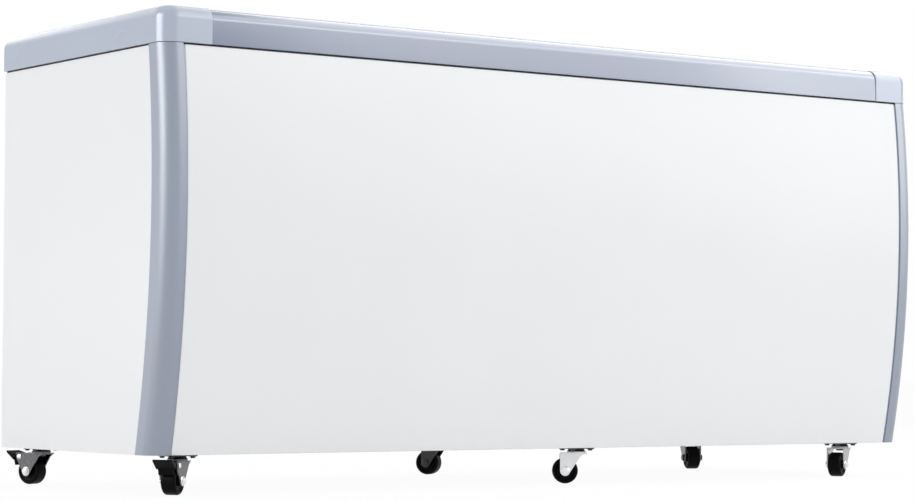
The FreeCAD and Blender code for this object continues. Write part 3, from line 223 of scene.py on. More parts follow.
def rubber(name, base, rough, shine=0.5):
    """Black rubber with dust in it and dull scuffs; shine is how much it mirrors."""
    material = finish(name, IOR=1.5, Specular_IOR_Level=shine)
    dust = texture(material, "ShaderNodeTexNoise", Scale=55.0, Detail=8.0, Roughness=0.7)
    tint(material, dust, colour(base, base, base * 1.04), colour(base * 1.7, base * 1.68, base * 1.66))
    gloss(material, texture(material, "ShaderNodeTexNoise", Scale=120.0, Detail=6.0), rough, rough + 0.18)
    relief(material, texture(material, "ShaderNodeTexNoise", Scale=900.0, Detail=3.0), 0.00004, 0.5)
    return material


def zinc_plate(name, tone):
    """Blue-white zinc plate; tone sets how bright it is, and the low tones given to some forks and nuts are
    painted shade.
    """
    material = finish(name, Metallic=1.0)
    ageing = texture(material, "ShaderNodeTexNoise", Scale=70.0, Detail=5.0)
    tint(material, ageing, colour(0.92 * tone, 0.93 * tone, 0.96 * tone), colour(tone, tone, 1.02 * tone))
    gloss(material, texture(material, "ShaderNodeTexNoise", Scale=160.0, Detail=6.0), 0.18, 0.32)
    relief(material, texture(material, "ShaderNodeTexNoise", Scale=700.0, Detail=2.0), 0.00002, 0.4)
    return material


def bright_nickel():
    """Clean plated nuts, washers and rivets."""
    material = finish("bright_nickel", Metallic=1.0)
    cloud = texture(material, "ShaderNodeTexNoise", Scale=90.0, Detail=4.0)
    tint(material, cloud, colour(0.70, 0.71, 0.72), colour(0.80, 0.81, 0.82))
    gloss(material, texture(material, "ShaderNodeTexNoise", Scale=200.0, Detail=5.0), 0.14, 0.24)
    return material


def galvanised_sheet():
    """Dull spangled zinc."""
    material = finish("galvanised_sheet", Metallic=1.0)
    spangle = texture(material, "ShaderNodeTexVoronoi", Scale=85.0)
    tint(material, spangle, colour(0.46, 0.47, 0.49), colour(0.60, 0.61, 0.62))
    gloss(material, texture(material, "ShaderNodeTexVoronoi", output=1, Scale=85.0), 0.34, 0.52)
    return material


def brushed_aluminium():
    """Satin anodised bar with drawn lines along its length."""
    material = finish("brushed_aluminium", Metallic=1.0)
    lines = texture(material, "ShaderNodeTexNoise", stretch=(3, 1500, 1500), Scale=1.0, Detail=3.0)
    tint(material, lines, colour(0.62, 0.635, 0.655), colour(0.74, 0.75, 0.765))
    gloss(material, lines, 0.26, 0.40)
    relief(material, lines, 0.00001, 0.4)
    return material


def stucco_sheet():
    """Embossed aluminium sheet of the tub: small raised pebbles."""
    material = finish("stucco_sheet", Metallic=0.85)
    cloud = texture(material, "ShaderNodeTexNoise", Scale=9.0, Detail=3.0)
    tint(material, cloud, colour(0.76, 0.77, 0.785), colour(0.83, 0.84, 0.85))
    gloss(material, texture(material, "ShaderNodeTexNoise", Scale=60.0, Detail=4.0), 0.30, 0.42)
    pebble = texture(material, "ShaderNodeTexVoronoi", Scale=210.0, feature="SMOOTH_F1")
    relief(material, pebble, 0.0006, 0.45)
    return material


def copper_tube():
    """Copper with brown tarnish."""
    material = finish("copper_tube", Metallic=1.0)
    tarnish = texture(material, "ShaderNodeTexNoise", Scale=40.0, Detail=6.0)
    tint(material, tarnish, colour(0.62, 0.32, 0.18), colour(0.78, 0.46, 0.30))
    gloss(material, tarnish, 0.25, 0.45)
    return material


def fin_stock():
    """Thin aluminium of the fins, dulled by dust."""
    material = finish("fin_stock", Metallic=1.0)
    dust = texture(material, "ShaderNodeTexNoise", Scale=50.0, Detail=6.0)
    tint(material, dust, colour(0.50, 0.51, 0.53), colour(0.66, 0.67, 0.68))
    gloss(material, dust, 0.32, 0.5)
    return material


def black_paint_and_shade():
    """Black paint of the machine parts; on the zinc caster plates and their bolts the black is painted shade."""
    material = finish("black_paint_and_shade", Coat_Weight=0.3, Coat_Roughness=0.15)
    dust = texture(material, "ShaderNodeTexNoise", Scale=35.0, Detail=7.0)
    tint(material, dust, colour(0.018, 0.018, 0.02), colour(0.035, 0.035, 0.037))
    gloss(material, dust, 0.30, 0.5)
    relief(material, texture(material, "ShaderNodeTexNoise", Scale=500.0, Detail=2.0), 0.00003, 0.4)
    return material


def pale_foam():
    """Stiff yellow foam with small cells."""
    material = finish("pale_foam", IOR=1.3)
    cells = texture(material, "ShaderNodeTexVoronoi", Scale=600.0)
    tint(material, cells, colour(0.74, 0.62, 0.36), colour(0.84, 0.74, 0.48))
    gloss(material, cells, 0.8, 0.95)
    relief(material, cells, 0.0004, 0.5)
    return material


def lid_glass():
    """Clear tempered pane; a faint green from its iron and the least ripple in its gloss."""
    material = finish(
        "lid_glass", Transmission_Weight=1.0, IOR=1.45, Base_Color=colour(0.93, 0.975, 0.96)
    )
    gloss(material, texture(material, "ShaderNodeTexNoise", Scale=12.0, Detail=3.0), 0.0, 0.012)
    return material


finishes = {
    "white_steel": white_enamel(),
    "grey_post": grey_moulding("grey_post", (0.268, 0.300, 0.368), 0.38, 0.95),
    "grey_rail": grey_moulding("grey_rail", (0.184, 0.218, 0.304), 0.18, 0.9),
    "dark_strip": rubber("dark_strip", 0.012, 0.7),
    "liner_metal": stucco_sheet(),
    "foam": pale_foam(),
    "copper": copper_tube(),
    "zinc_steel": galvanised_sheet(),
    "bright_zinc": zinc_plate("bright_zinc", 0.72),
    "track_plastic": plain_plastic("track_plastic", (0.52, 0.54, 0.57), 0.38),
    "lid_glass": lid_glass(),
    "lid_frame": brushed_aluminium(),
    "machine_black": black_paint_and_shade(),
    "fins": fin_stock(),
    "fan_plastic": plain_plastic("fan_plastic", (0.03, 0.03, 0.033), 0.42),
    "control_plastic": plain_plastic("control_plastic", (0.045, 0.048, 0.053), 0.45, 0.00004),
    "knob_plastic": plain_plastic("knob_plastic", (0.014, 0.014, 0.015), 0.30),
    "switch_plastic": plain_plastic("switch_plastic", (0.02, 0.20, 0.055), 0.16, 0.000005),
    "black_rubber": rubber("black_rubber", 0.012, 0.5),
    "wheel_black": rubber("wheel_black", 0.0022, 0.32, 0.05),
    "pedal_black": plain_plastic("pedal_black", (0.0025, 0.0025, 0.0027), 0.34, 0.00004, 1.5, 0.06),
}
# Darker copy of the plated zinc, used on three forks as painted shade
shaded_zinc = zinc_plate("shaded_zinc", 0.15)
nut_finish = bright_nickel()
cap_finish = grey_moulding("grey_cap", (0.420, 0.463, 0.555), 0.27, 0.6)
white_mark = plain_plastic("white_mark", (0.80, 0.80, 0.80), 0.4, 0.000005)


# Nodes whose flats have openings through them
pierced_nodes = (
    "machine_cover", "side_vent_grille", "right_side_panel", "base_pan", "fan_shroud", "control_panel",
)

# Points closer than a weld become one, and faces that turn less than the flat angle one flat
made_weld, tree_weld, node_weld = 1e-7, 1e-6, 2e-6
flat_angle = math.radians(0.4)


# Mesh helpers
def mesh_from(name, build):
    """Mesh from a function that fills a bmesh; faces are turned outwards."""
    work = bmesh.new()
    build(work)
    bmesh.ops.remove_doubles(work, verts=work.verts, dist=made_weld)
    bmesh.ops.recalc_face_normals(work, faces=work.faces)
    mesh = bpy.data.meshes.new(name)
    work.to_mesh(mesh)
    work.free()
    return mesh


def loft(work, rows, ring=True, ends=True):
    """Skin through rows of equally many points; ring closes each row, ends caps the first and last."""
    grid = [[work.verts.new(point) for point in row] for row in rows]
    count = len(grid[0])
    last = count if ring else count - 1
    for low, high in zip(grid, grid[1:]):
        for k in range(last):
            n = (k + 1) % count
            work.faces.new((low[k], low[n], high[n], high[k]))
    if ends:
        work.faces.new(list(reversed(grid[0])))
        work.faces.new(grid[-1])
    return grid


def lathe(work, profile, steps=48):
    """Turn a closed profile of (radius, y) points round the Y axis."""
    rows = []
    for k in range(steps):
        turn = 2 * math.pi * k / steps
        rows.append([(r * math.cos(turn), y, r * math.sin(turn)) for r, y in profile])
    loft(work, rows + [rows[0]], ring=True, ends=False)


def box_into(work, low, high):
    """Box between two corners."""
    made = bmesh.ops.create_cube(work, size=1.0)
    size = [b - a for a, b in zip(low, high)]
    bmesh.ops.scale(work, vec=size, verts=made["verts"])
    bmesh.ops.translate(work, vec=[(a + b) / 2 for a, b in zip(low, high)], verts=made["verts"])


def arc(cx, cy, radius, start, end, steps=arc_steps):
    """Points of an arc in a plane, angles in degrees."""
    points = []
    for k in range(steps + 1):
        turn = math.radians(start + (end - start) * k / steps)
        points.append((cx + radius * math.cos(turn), cy + radius * math.sin(turn)))
    return points


def held(mesh, name="holder"):
    """Passing object that carries a mesh while modifiers work on it."""
    holder = bpy.data.objects.new(name, mesh)
    scene.collection.objects.link(holder)
    return holder


def worked(holder):
    """Plain mesh of a passing object with its modifiers applied; the object goes."""
    depsgraph = bpy.context.evaluated_depsgraph_get()
    mesh = bpy.data.meshes.new_from_object(holder.evaluated_get(depsgraph))
    bpy.data.objects.remove(holder)
    return mesh


def rounded(mesh, width, steps=2, angle=32):
    """The same mesh with its sharp edges rounded and its flats shaded flat; a width of 0 only shades it."""
    holder = held(mesh)
    if width:
        bevel = holder.modifiers.new("edges", "BEVEL")
        bevel.width = width
        bevel.segments = steps
        bevel.limit_method = "ANGLE"
        bevel.angle_limit = math.radians(angle)
        bevel.use_clamp_overlap = True
        bevel.miter_outer = "MITER_ARC"
    result = worked(holder)
    result.polygons.foreach_set("use_smooth", [True] * len(result.polygons))
    result.set_sharp_from_angle(angle=math.radians(angle))
    weigh(result)
    return result


def weigh(mesh):
    """Normals weighted by face area, so that wide flats stay flat beside small rounds."""
    holder = held(mesh)
    modifier = holder.modifiers.new("flats", "WEIGHTED_NORMAL")
    modifier.keep_sharp = True
    shaded = worked(holder)
    mesh.normals_split_custom_set([corner.vector.copy() for corner in shaded.corner_normals])
    bpy.data.meshes.remove(shaded)


def node_copy(name):
    """A node's mesh with its loose triangles merged; flats are made whole where no openings pierce them."""
    work = bmesh.new()
    work.from_mesh(nodes[name].data)
    bmesh.ops.remove_doubles(work, verts=work.verts, dist=node_weld)
    if name not in pierced_nodes:
        bmesh.ops.dissolve_limit(
            work, angle_limit=flat_angle, verts=work.verts, edges=work.edges, delimit={"NORMAL"}
        )
    mesh = bpy.data.meshes.new(name)
    work.to_mesh(mesh)
    work.free()
    return mesh


def piece(name, mesh, body, slot, *replaced, material=None):
    """Put a mesh in the scene as a piece of the object."""
    mesh.materials.clear()
    mesh.materials.append(material or finishes[slot])
    thing = bpy.data.objects.new(name, mesh)
    scene.collection.objects.link(thing)
    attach(thing, body)
    if replaced:
        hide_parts(*replaced)
    return thing


def node_piece(node, mesh, material=None):
    """Piece that takes a node's place, on the node's own body, finished as the node's slot unless another material
    is given.
    """
    return piece(f"{node}_look", mesh, body_of_node[node], slot_of_node[node], node, material=material)


def mirrored(mesh):
    """Mirror image across the middle of the cabinet."""
    copy = mesh.copy()
    copy.attributes.remove(copy.attributes["custom_normal"])
    copy.transform(Matrix.Diagonal((-1, 1, 1, 1)))
    copy.flip_normals()
    weigh(copy)
    return copy


# Node trees
def node_tree(name, sizes):
    """Geometry tree with named inputs; sizes maps each label to its socket type."""
    tree = bpy.data.node_groups.new(name, "GeometryNodeTree")
    tree.interface.new_socket("Geometry", in_out="INPUT", socket_type="NodeSocketGeometry")
    tree.interface.new_socket("Geometry", in_out="OUTPUT", socket_type="NodeSocketGeometry")
    for label, kind in sizes.items():
        tree.interface.new_socket(label, in_out="INPUT", socket_type=kind)
    tree.nodes.new("NodeGroupInput")
    tree.nodes.new("NodeGroupOutput")
    return tree


def add(tree, kind, settings=None, **inputs):
    """New node; inputs are sockets to link, values to set, or an index given as in_0, in_1 and so on."""
    node = tree.nodes.new(kind)
    for label, value in (settings or {}).items():
        setattr(node, label, value)
    for label, value in inputs.items():
        key = int(label[3:]) if label.startswith("in_") else label.replace("_", " ")
        if isinstance(value, bpy.types.NodeSocket):
            tree.links.new(value, node.inputs[key])
        else:
            node.inputs[key].default_value = value
    return node


def given(tree, label):
    """The tree's own input with this label."""
    return tree.nodes["Group Input"].outputs[label]


def maths(tree, operation, first, second=None):
    """Result of one step of arithmetic on sockets or numbers."""
    inputs = {"in_0": first} if second is None else {"in_0": first, "in_1": second}
    return add(tree, "ShaderNodeMath", {"operation": operation}, **inputs).outputs[0]


def end_tree(tree, geometry):
    """Realise what was instanced, give it its finish and send it out."""
    real = add(tree, "GeometryNodeRealizeInstances", Geometry=geometry).outputs[0]
    done = add(tree, "GeometryNodeSetMaterial", Geometry=real, Material=given(tree, "Finish")).outputs[0]
    tree.links.new(done, tree.nodes["Group Output"].inputs[0])


def grown(tree, name, values, seed_mesh=None):
    """Plain mesh that a tree makes from its named inputs and, where it needs places, from a seed mesh."""
    holder = held(seed_mesh or bpy.data.meshes.new(name), name)
    modifier = holder.modifiers.new(name, "NODES")
    modifier.node_group = tree
    for item in tree.interface.items_tree:
        if item.in_out == "INPUT" and item.name in values:
            modifier[item.identifier] = values[item.name]
    return worked(holder)


def places(points, axis):
    """Seed mesh of loose points that carry the way each fastener faces."""
    mesh = bpy.data.meshes.new("places")
    mesh.from_pydata([tuple(p) for p in points], [], [])
    facing = mesh.attributes.new("facing", "FLOAT_VECTOR", "POINT")
    for k in range(len(points)):
        facing.data[k].vector = axis
    return mesh


FLOAT = "NodeSocketFloat"
COUNT = "NodeSocketInt"
VECTOR = "NodeSocketVector"
FINISH = "NodeSocketMaterial"


def bowed_front_tree():
    """Bowed sheet: a flat grid pushed onto the arc of the front and given its thickness."""
    tree = node_tree("bowed_front", {
        "Width": FLOAT, "Foot": FLOAT, "Head": FLOAT, "Radius": FLOAT,
        "Centre Y": FLOAT, "Centre Z": FLOAT, "Thickness": FLOAT, "Rows": COUNT, "Finish": FINISH,
    })
    height = maths(tree, "SUBTRACT", given(tree, "Head"), given(tree, "Foot"))
    grid = add(
        tree, "GeometryNodeMeshGrid", Size_X=given(tree, "Width"), Size_Y=height,
        Vertices_X=panel_columns, Vertices_Y=given(tree, "Rows"),
    ).outputs[0]
    middle = maths(tree, "MULTIPLY", maths(tree, "ADD", given(tree, "Head"), given(tree, "Foot")), 0.5)
    spot = add(tree, "ShaderNodeSeparateXYZ", Vector=add(tree, "GeometryNodeInputPosition").outputs[0])
    z = maths(tree, "ADD", spot.outputs["Y"], middle)
    rise = maths(tree, "SUBTRACT", z, given(tree, "Centre Z"))
    square = maths(tree, "MULTIPLY", given(tree, "Radius"), given(tree, "Radius"))
    inside = maths(tree, "SUBTRACT", square, maths(tree, "MULTIPLY", rise, rise))
    y = maths(tree, "SUBTRACT", given(tree, "Centre Y"), maths(tree, "SQRT", inside))
    bent = add(tree, "ShaderNodeCombineXYZ", X=spot.outputs["X"], Y=y, Z=z).outputs[0]
    sheet = add(tree, "GeometryNodeSetPosition", Geometry=grid, Position=bent).outputs[0]
    inner = add(
        tree, "GeometryNodeExtrudeMesh", Mesh=sheet, Individual=False,
        Offset=add(tree, "ShaderNodeCombineXYZ", Y=1.0).outputs[0],
        Offset_Scale=given(tree, "Thickness"),
    ).outputs[0]
    outer = add(tree, "GeometryNodeFlipFaces", Mesh=sheet).outputs[0]
    both = add(tree, "GeometryNodeJoinGeometry", Geometry=inner)
    tree.links.new(outer, both.inputs[0])
    closed = add(
        tree, "GeometryNodeMergeByDistance", Geometry=both.outputs[0], Distance=tree_weld
    ).outputs[0]
    end_tree(tree, closed)
    return tree


def fastener_tree():
    """Head with a flange and a driven recess, set at each place and turned to face its own way."""
    tree = node_tree("fasteners", {
        "Sides": COUNT, "Head Radius": FLOAT, "Head Height": FLOAT, "Flange Radius": FLOAT,
        "Flange Height": FLOAT, "Recess Length": FLOAT, "Recess Width": FLOAT, "Finish": FINISH,
    })
    head_taper, flange_taper = 0.86, 0.93
    deep = given(tree, "Head Height")
    head = add(
        tree, "GeometryNodeMeshCone", Vertices=given(tree, "Sides"), Depth=deep,
        Radius_Bottom=given(tree, "Head Radius"),
        Radius_Top=maths(tree, "MULTIPLY", given(tree, "Head Radius"), head_taper),
    ).outputs[0]
    flange = add(
        tree, "GeometryNodeMeshCone", Vertices=round_sides, Depth=given(tree, "Flange Height"),
        Radius_Bottom=given(tree, "Flange Radius"),
        Radius_Top=maths(tree, "MULTIPLY", given(tree, "Flange Radius"), flange_taper),
    ).outputs[0]
    raised = add(tree, "ShaderNodeCombineXYZ", Z=deep).outputs[0]
    cut = add(tree, "GeometryNodeMeshBoolean", {"operation": "DIFFERENCE", "solver": "FLOAT"}, in_0=head)
    for x, y in (("Recess Length", "Recess Width"), ("Recess Width", "Recess Length")):
        size = add(tree, "ShaderNodeCombineXYZ", X=given(tree, x), Y=given(tree, y), Z=deep).outputs[0]
        slot = add(tree, "GeometryNodeMeshCube", Size=size).outputs[0]
        moved = add(tree, "GeometryNodeTransform", Geometry=slot, Translation=raised).outputs[0]
        tree.links.new(moved, cut.inputs[1])
    whole = add(tree, "GeometryNodeJoinGeometry", Geometry=cut.outputs[0])
    tree.links.new(flange, whole.inputs[0])
    facing = add(tree, "GeometryNodeInputNamedAttribute", {"data_type": "FLOAT_VECTOR"}, Name="facing")
    turn = add(
        tree, "FunctionNodeAlignRotationToVector", {"axis": "Z"}, Vector=facing.outputs[0]
    ).outputs[0]
    points = add(tree, "GeometryNodeMeshToPoints", Mesh=given(tree, "Geometry")).outputs[0]
    set_out = add(
        tree, "GeometryNodeInstanceOnPoints", Points=points, Instance=whole.outputs[0], Rotation=turn
    ).outputs[0]
    end_tree(tree, set_out)
    return tree


def row_tree():
    """Row of equal bars along one axis, such as fins and ribs."""
    tree = node_tree("bar_row", {
        "Start": VECTOR, "Step": VECTOR, "Count": COUNT, "Bar": VECTOR, "Finish": FINISH,
    })
    line = add(
        tree, "GeometryNodeMeshLine", Count=given(tree, "Count"), Start_Location=given(tree, "Start"),
        Offset=given(tree, "Step"),
    ).outputs[0]
    bar = add(tree, "GeometryNodeMeshCube", Size=given(tree, "Bar")).outputs[0]
    bars = add(tree, "GeometryNodeInstanceOnPoints", Points=line, Instance=bar).outputs[0]
    end_tree(tree, bars)
    return tree


def dial_tree():
    """Marks round a dial, facing out of the back of the cabinet."""
    tree = node_tree("dial_marks", {
        "Centre": VECTOR, "Radius": FLOAT, "Count": COUNT, "First": FLOAT, "Turn": FLOAT,
        "Mark": VECTOR, "Finish": FINISH,
    })
    line = add(tree, "GeometryNodeMeshLine", Count=given(tree, "Count")).outputs[0]
    index = add(tree, "GeometryNodeInputIndex").outputs[0]
    angle = maths(tree, "ADD", given(tree, "First"), maths(tree, "MULTIPLY", index, given(tree, "Turn")))
    x = maths(tree, "MULTIPLY", maths(tree, "SINE", angle), given(tree, "Radius"))
    z = maths(tree, "MULTIPLY", maths(tree, "COSINE", angle), given(tree, "Radius"))
    offset = add(tree, "ShaderNodeCombineXYZ", X=x, Z=z).outputs[0]
    spot = add(
        tree, "ShaderNodeVectorMath", {"operation": "ADD"}, in_0=offset, in_1=given(tree, "Centre")
    ).outputs[0]
    ring = add(tree, "GeometryNodeSetPosition", Geometry=line, Position=spot).outputs[0]
    turn = add(tree, "ShaderNodeCombineXYZ", Y=angle).outputs[0]
    mark = add(tree, "GeometryNodeMeshCube", Size=given(tree, "Mark")).outputs[0]
    marks = add(
        tree, "GeometryNodeInstanceOnPoints", Points=ring, Instance=mark, Rotation=turn
    ).outputs[0]
    end_tree(tree, marks)
    return tree


bowed_front = bowed_front_tree()
fasteners = fastener_tree()
bar_row = row_tree()
dial_marks = dial_tree()


# Outer panels
def front_panel():
    """White front sheet on the bow, its edges folded over."""
    mesh = grown(bowed_front, "front_panel", {
        "Width": 2 * front_half, "Foot": base_z, "Head": panel_top, "Radius": bow_radius,
        "Centre Y": bow_centre_y, "Centre Z": bow_centre_z, "Thickness": panel_depth,
        "Rows": panel_rows, "Finish": finishes["white_steel"],
    })
    node_piece("front_panel", rounded(mesh, panel_fold, steps=3, angle=45))


def up_the_bow(work, section, low, high):
    """Sweep a plan of (x, inset) points up the bow between two heights."""
    levels = [low + (high - low) * k / (post_rows - 1) for k in range(post_rows)]
    loft(work, [[(x, bow_y(z, inset), z) for x, inset in section] for z in levels])


def corner_post():
    """Left corner post: its plan swept up the bow, with the tongue behind the front panel."""
    edge = -post_x + post_front
    round_x, round_y = -post_x + post_radius, post_radius - post_proud
    outer = [(edge, -post_proud + post_lip), (edge - post_lip, -post_proud)]
    outer += [(edge - 2 * post_lip, -post_proud), (round_x + post_lip, -post_proud)]
    outer += arc(round_x, round_y, post_radius, 270, 180)
    outer += [(-post_x, round_y + post_lip), (-post_x, post_side - 2 * post_lip)]
    outer += [(-post_x, post_side - post_lip), (-post_x + post_lip, post_side)]
    inner_radius = post_radius - post_wall
    inner = [(-post_x + post_wall, post_side)]
    inner += arc(round_x, round_y, inner_radius, 180, 270)
    inner += [(edge, post_wall - post_proud)]
    root, tip, far = edge - 2 * post_wall, -front_half + tongue_reach, tongue_near + post_wall
    tongue = [(root, tongue_near), (tip, tongue_near), (tip, far), (root, far)]
    clear = panel_sheet + tongue_near

    def build(work):
        up_the_bow(work, outer + inner, base_z, post_top)
        up_the_bow(work, tongue, base_z + clear, panel_top - clear)

    return rounded(mesh_from("corner_post", build), 0)


def top_cap():
    """Left end moulding of the top frame, a stack of outlines drawn in round its top edge."""
    def outline(inset, z):
        corner = cap_corner - inset
        front, back, end = frame_front + inset, frame_back - inset, -frame_x + inset
        small = cap_back_corner
        points = [(-cap_inner, front), (end + corner + flat_margin, front)]
        points += arc(end + corner, front + corner, corner, 270, 180)
        points += [(end, front + corner + flat_margin), (end, back - small - flat_margin)]
        points += arc(end + small, back - small, small, 180, 90, cap_back_steps)
        points += [(end + small + flat_margin, back), (-cap_inner, back)]
        return [(x, y, z) for x, y in points]

    def build(work):
        shoulder = top_z - frame_round
        rows = [outline(frame_foot, liner_top), outline(frame_foot, frame_z), outline(0, frame_z)]
        rows += [outline(0, shoulder - flat_margin), outline(0, shoulder)]
        for k in range(1, arc_steps + 1):
            turn = math.radians(90 * k / arc_steps)
            inset = frame_round * (1 - math.cos(turn))
            rows.append(outline(inset, top_z - frame_round * (1 - math.sin(turn))))
        grid = loft(work, rows, ring=False)
        work.faces.new([row[0] for row in grid] + [row[-1] for row in reversed(grid)])

    return rounded(mesh_from("top_cap", build), frame_edge, angle=frame_edge_angle)


def top_rail(node, outer, inner):
    """Straight rail of the top frame; outer and inner are the y of its upright faces."""
    way = 1 if inner > outer else -1
    reach = abs(inner - outer)
    small = frame_round - frame_wall
    lean = math.atan2(2 * rail_crown, rail_top - frame_round - frame_z)
    face = [k / crown_steps for k in range(crown_steps)]
    profile = [(rail_crown * t * t, frame_z + t * (rail_top - frame_round - frame_z)) for t in face]
    shoulder = rail_crown + frame_round * math.cos(lean)
    profile += arc(shoulder, rail_top - frame_round, frame_round, 180 - math.degrees(lean), 90)
    profile += [(reach, rail_top), (reach, liner_top), (reach - frame_wall, liner_top)]
    profile += [(reach - frame_wall, rail_top - frame_wall)]
    profile += arc(frame_round, rail_top - frame_round, small, 90, 180)
    foot_top = frame_z + frame_wall
    profile += [(frame_wall, foot_top), (frame_foot, foot_top), (frame_foot, frame_z)]

    def build(work):
        loft(work, [[(x, outer + way * d, z) for d, z in profile] for x in (-rail_half, rail_half)])

    node_piece(node, rounded(mesh_from(node, build), frame_edge, angle=frame_edge_angle))


front_panel()
post = corner_post()
node_piece("left_corner_post", post)
node_piece("right_corner_post", mirrored(post))
cap = top_cap()
node_piece("left_top_cap", cap, cap_finish)
node_piece("right_top_cap", mirrored(cap), cap_finish)
for rail, side in (("front_top_rail", 0), ("back_top_rail", 1)):
    low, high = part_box(rail)
    top_rail(rail, (low.y, high.y)[side], (high.y, low.y)[side])

# Pieces whose shape is the node's own, with its edges rounded by this width
edge_rounds = {
    "left_side_panel": 0.0004, "right_side_panel": 0.0004, "back_panel": 0.0004, "machine_cover": 0.0003,
    "base_pan": 0.0, "frame_gasket": 0.0006, "inner_liner": 0.0, "drain_plug": 0.0006,
    "insulation_foam": 0.0, "evaporator_coil": 0.0, "front_lid_track": 0.0005, "back_lid_track": 0.0005,
    "lid_bumpers": 0.0012, "left_lid_glass": 0.0006, "left_lid_frame": 0.0011, "right_lid_glass": 0.0006,
    "right_lid_frame": 0.0011, "compressor": 0.0006, "compressor_mounts": 0.0008, "fan_shroud": 0.0003,
    "fan_motor": 0.0012, "fan_blade": 0.0003, "filter_drier": 0.0, "refrigerant_lines": 0.0,
    "control_panel": 0.0005, "thermostat_knob": 0.0006, "power_switch": 0.0008, "cord_gland": 0.0007,
    "side_vent_grille": 0.0006,
}
for node, width in edge_rounds.items():
    node_piece(node, rounded(node_copy(node), width))


# Fasteners, condenser and dial marks
def pan_screws(name, points, slot):
    """Cross-recessed pan heads that face out of the back."""
    return rounded(grown(fasteners, name, {
        "Sides": round_sides, "Head Radius": 0.0044, "Head Height": 0.0022, "Flange Radius": 0.0045,
        "Flange Height": 0.0012, "Recess Length": 0.0048, "Recess Width": 0.0011,
        "Finish": finishes[slot],
    }, places(points, (0, 1, 0))), 0)


def screw_set():
    """Bright screws of the machine cover and black ones of the control panel."""
    flange, cover_gap, machine_top = 0.014, 0.0003, 0.372
    tab_inset, tab_sheet = 0.003, 0.001
    low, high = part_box("machine_cover")
    cover_points = []
    for x in (low.x + flange - cover_gap, high.x - flange):
        for z in (low.z + flange, machine_top, high.z - 2 * flange):
            cover_points.append((x, back_y, z))
    low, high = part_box("control_panel")
    control_points = []
    for x in (low.x + tab_inset, high.x - tab_inset):
        control_points.append((x, back_y + tab_sheet, (low.z + high.z) / 2))
    node_piece("panel_screws", pan_screws("panel_screws", cover_points, "bright_zinc"))
    black_screws = pan_screws("control_screws", control_points, "machine_black")
    piece("control_screws", black_screws, "cabinet", "machine_black")


def caster_bolts(plates):
    """Hexagon bolts that hold the caster plates to the base pan; plates are their centres."""
    half_along, half_across = 0.0215, 0.0165
    head = 0.0036
    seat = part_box("caster_bolts")[0].z + head
    points = []
    for x, y in plates:
        points += [(x + a * half_along, y + b * half_across, seat) for a in (-1, 1) for b in (-1, 1)]
    # The bolts are zinc; their black finish is painted shade
    mesh = grown(fasteners, "caster_bolts", {
        "Sides": 6, "Head Radius": 0.0052, "Head Height": head, "Flange Radius": 0.0065,
        "Flange Height": 0.001, "Recess Length": 0.0, "Recess Width": 0.0,
        "Finish": finishes["machine_black"],
    }, places(points, (0, 0, -1)))
    node_piece("caster_bolts", rounded(mesh, 0), finishes["machine_black"])


def condenser():
    """Thin fins between two end plates, on a block of tube rows."""
    low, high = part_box("condenser")
    middle = (low + high) / 2
    foot, end_plate = 0.014, 0.002
    fin, pitch, first_fin, ends = 0.0004, 0.0042, 0.0035, 0.006
    tube, tube_sides, tube_rows = 0.0045, 16, 8
    count = int((high.y - low.y - ends) / pitch)
    fins = grown(bar_row, "condenser_fins", {
        "Start": (middle.x, low.y + first_fin, middle.z + foot / 2), "Step": (0, pitch, 0),
        "Count": count, "Bar": (high.x - low.x, fin, high.z - low.z - foot), "Finish": finishes["fins"],
    })
    work = bmesh.new()
    work.from_mesh(fins)
    box_into(work, low, (high.x, low.y + end_plate, high.z))
    box_into(work, (low.x, high.y - end_plate, low.z), high)
    for k in range(tube_rows):
        z = low.z + foot + (high.z - low.z - foot) * (k + 0.5) / tube_rows
        made = bmesh.ops.create_cone(
            work, cap_ends=True, segments=tube_sides, radius1=tube, radius2=tube, depth=high.y - low.y
        )
        bmesh.ops.rotate(work, matrix=Matrix.Rotation(math.pi / 2, 3, "X"), verts=made["verts"])
        bmesh.ops.translate(work, vec=(middle.x, middle.y, z), verts=made["verts"])
    work.to_mesh(fins)
    work.free()
    node_piece("condenser", rounded(fins, 0))


def dial_scale():
    """White marks round the thermostat knob and the pointer on its face."""
    dial_radius, dial_range, mark_count = 0.0215, 270, 8
    mark_width, mark_thick, mark_length = 0.0011, 0.0004, 0.0048
    pointer_half, pointer_root, pointer_proud = 0.0007, 0.0002, 0.0003
    pointer_from, pointer_to = 0.002, 0.0155
    low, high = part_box("thermostat_knob")
    middle = (low + high) / 2
    marks = grown(dial_marks, "dial_marks", {
        "Centre": (middle.x, low.y - mark_thick / 2, middle.z), "Radius": dial_radius,
        "First": math.radians(-dial_range / 2), "Turn": math.radians(dial_range / (mark_count - 1)),
        "Count": mark_count, "Mark": (mark_width, mark_thick, mark_length), "Finish": white_mark,
    })
    piece("dial_marks", rounded(marks, 0), "cabinet", "control_plastic", material=white_mark)
    pointer = mesh_from("knob_pointer", lambda work: box_into(
        work, (middle.x - pointer_half, high.y - pointer_root, middle.z + pointer_from),
        (middle.x + pointer_half, high.y + pointer_proud, middle.z + pointer_to),
    ))
    piece("knob_pointer", rounded(pointer, 0), "knob", "knob_plastic", material=white_mark)


screw_set()
condenser()
dial_scale()


# Casters, modelled with the kingpin on Z and the wheel trailing along +X, then turned into place
trail, axle_z = 0.022, 0.025
brake_x, brake_z = 0.038, 0.0525
pedal_lift, pedal_reach = 0.009, 0.033
rib_x, rib_rise = 0.053, 0.0018
rib_pitch, rib_count, rib_bar = 0.0036, 5, (0.0014, 0.030, 0.0012)
fork_edge, axle_edge, pedal_edge, rib_edge, plate_edge = 0.0008, 0.0006, 0.0009, 0.0004, 0.0004

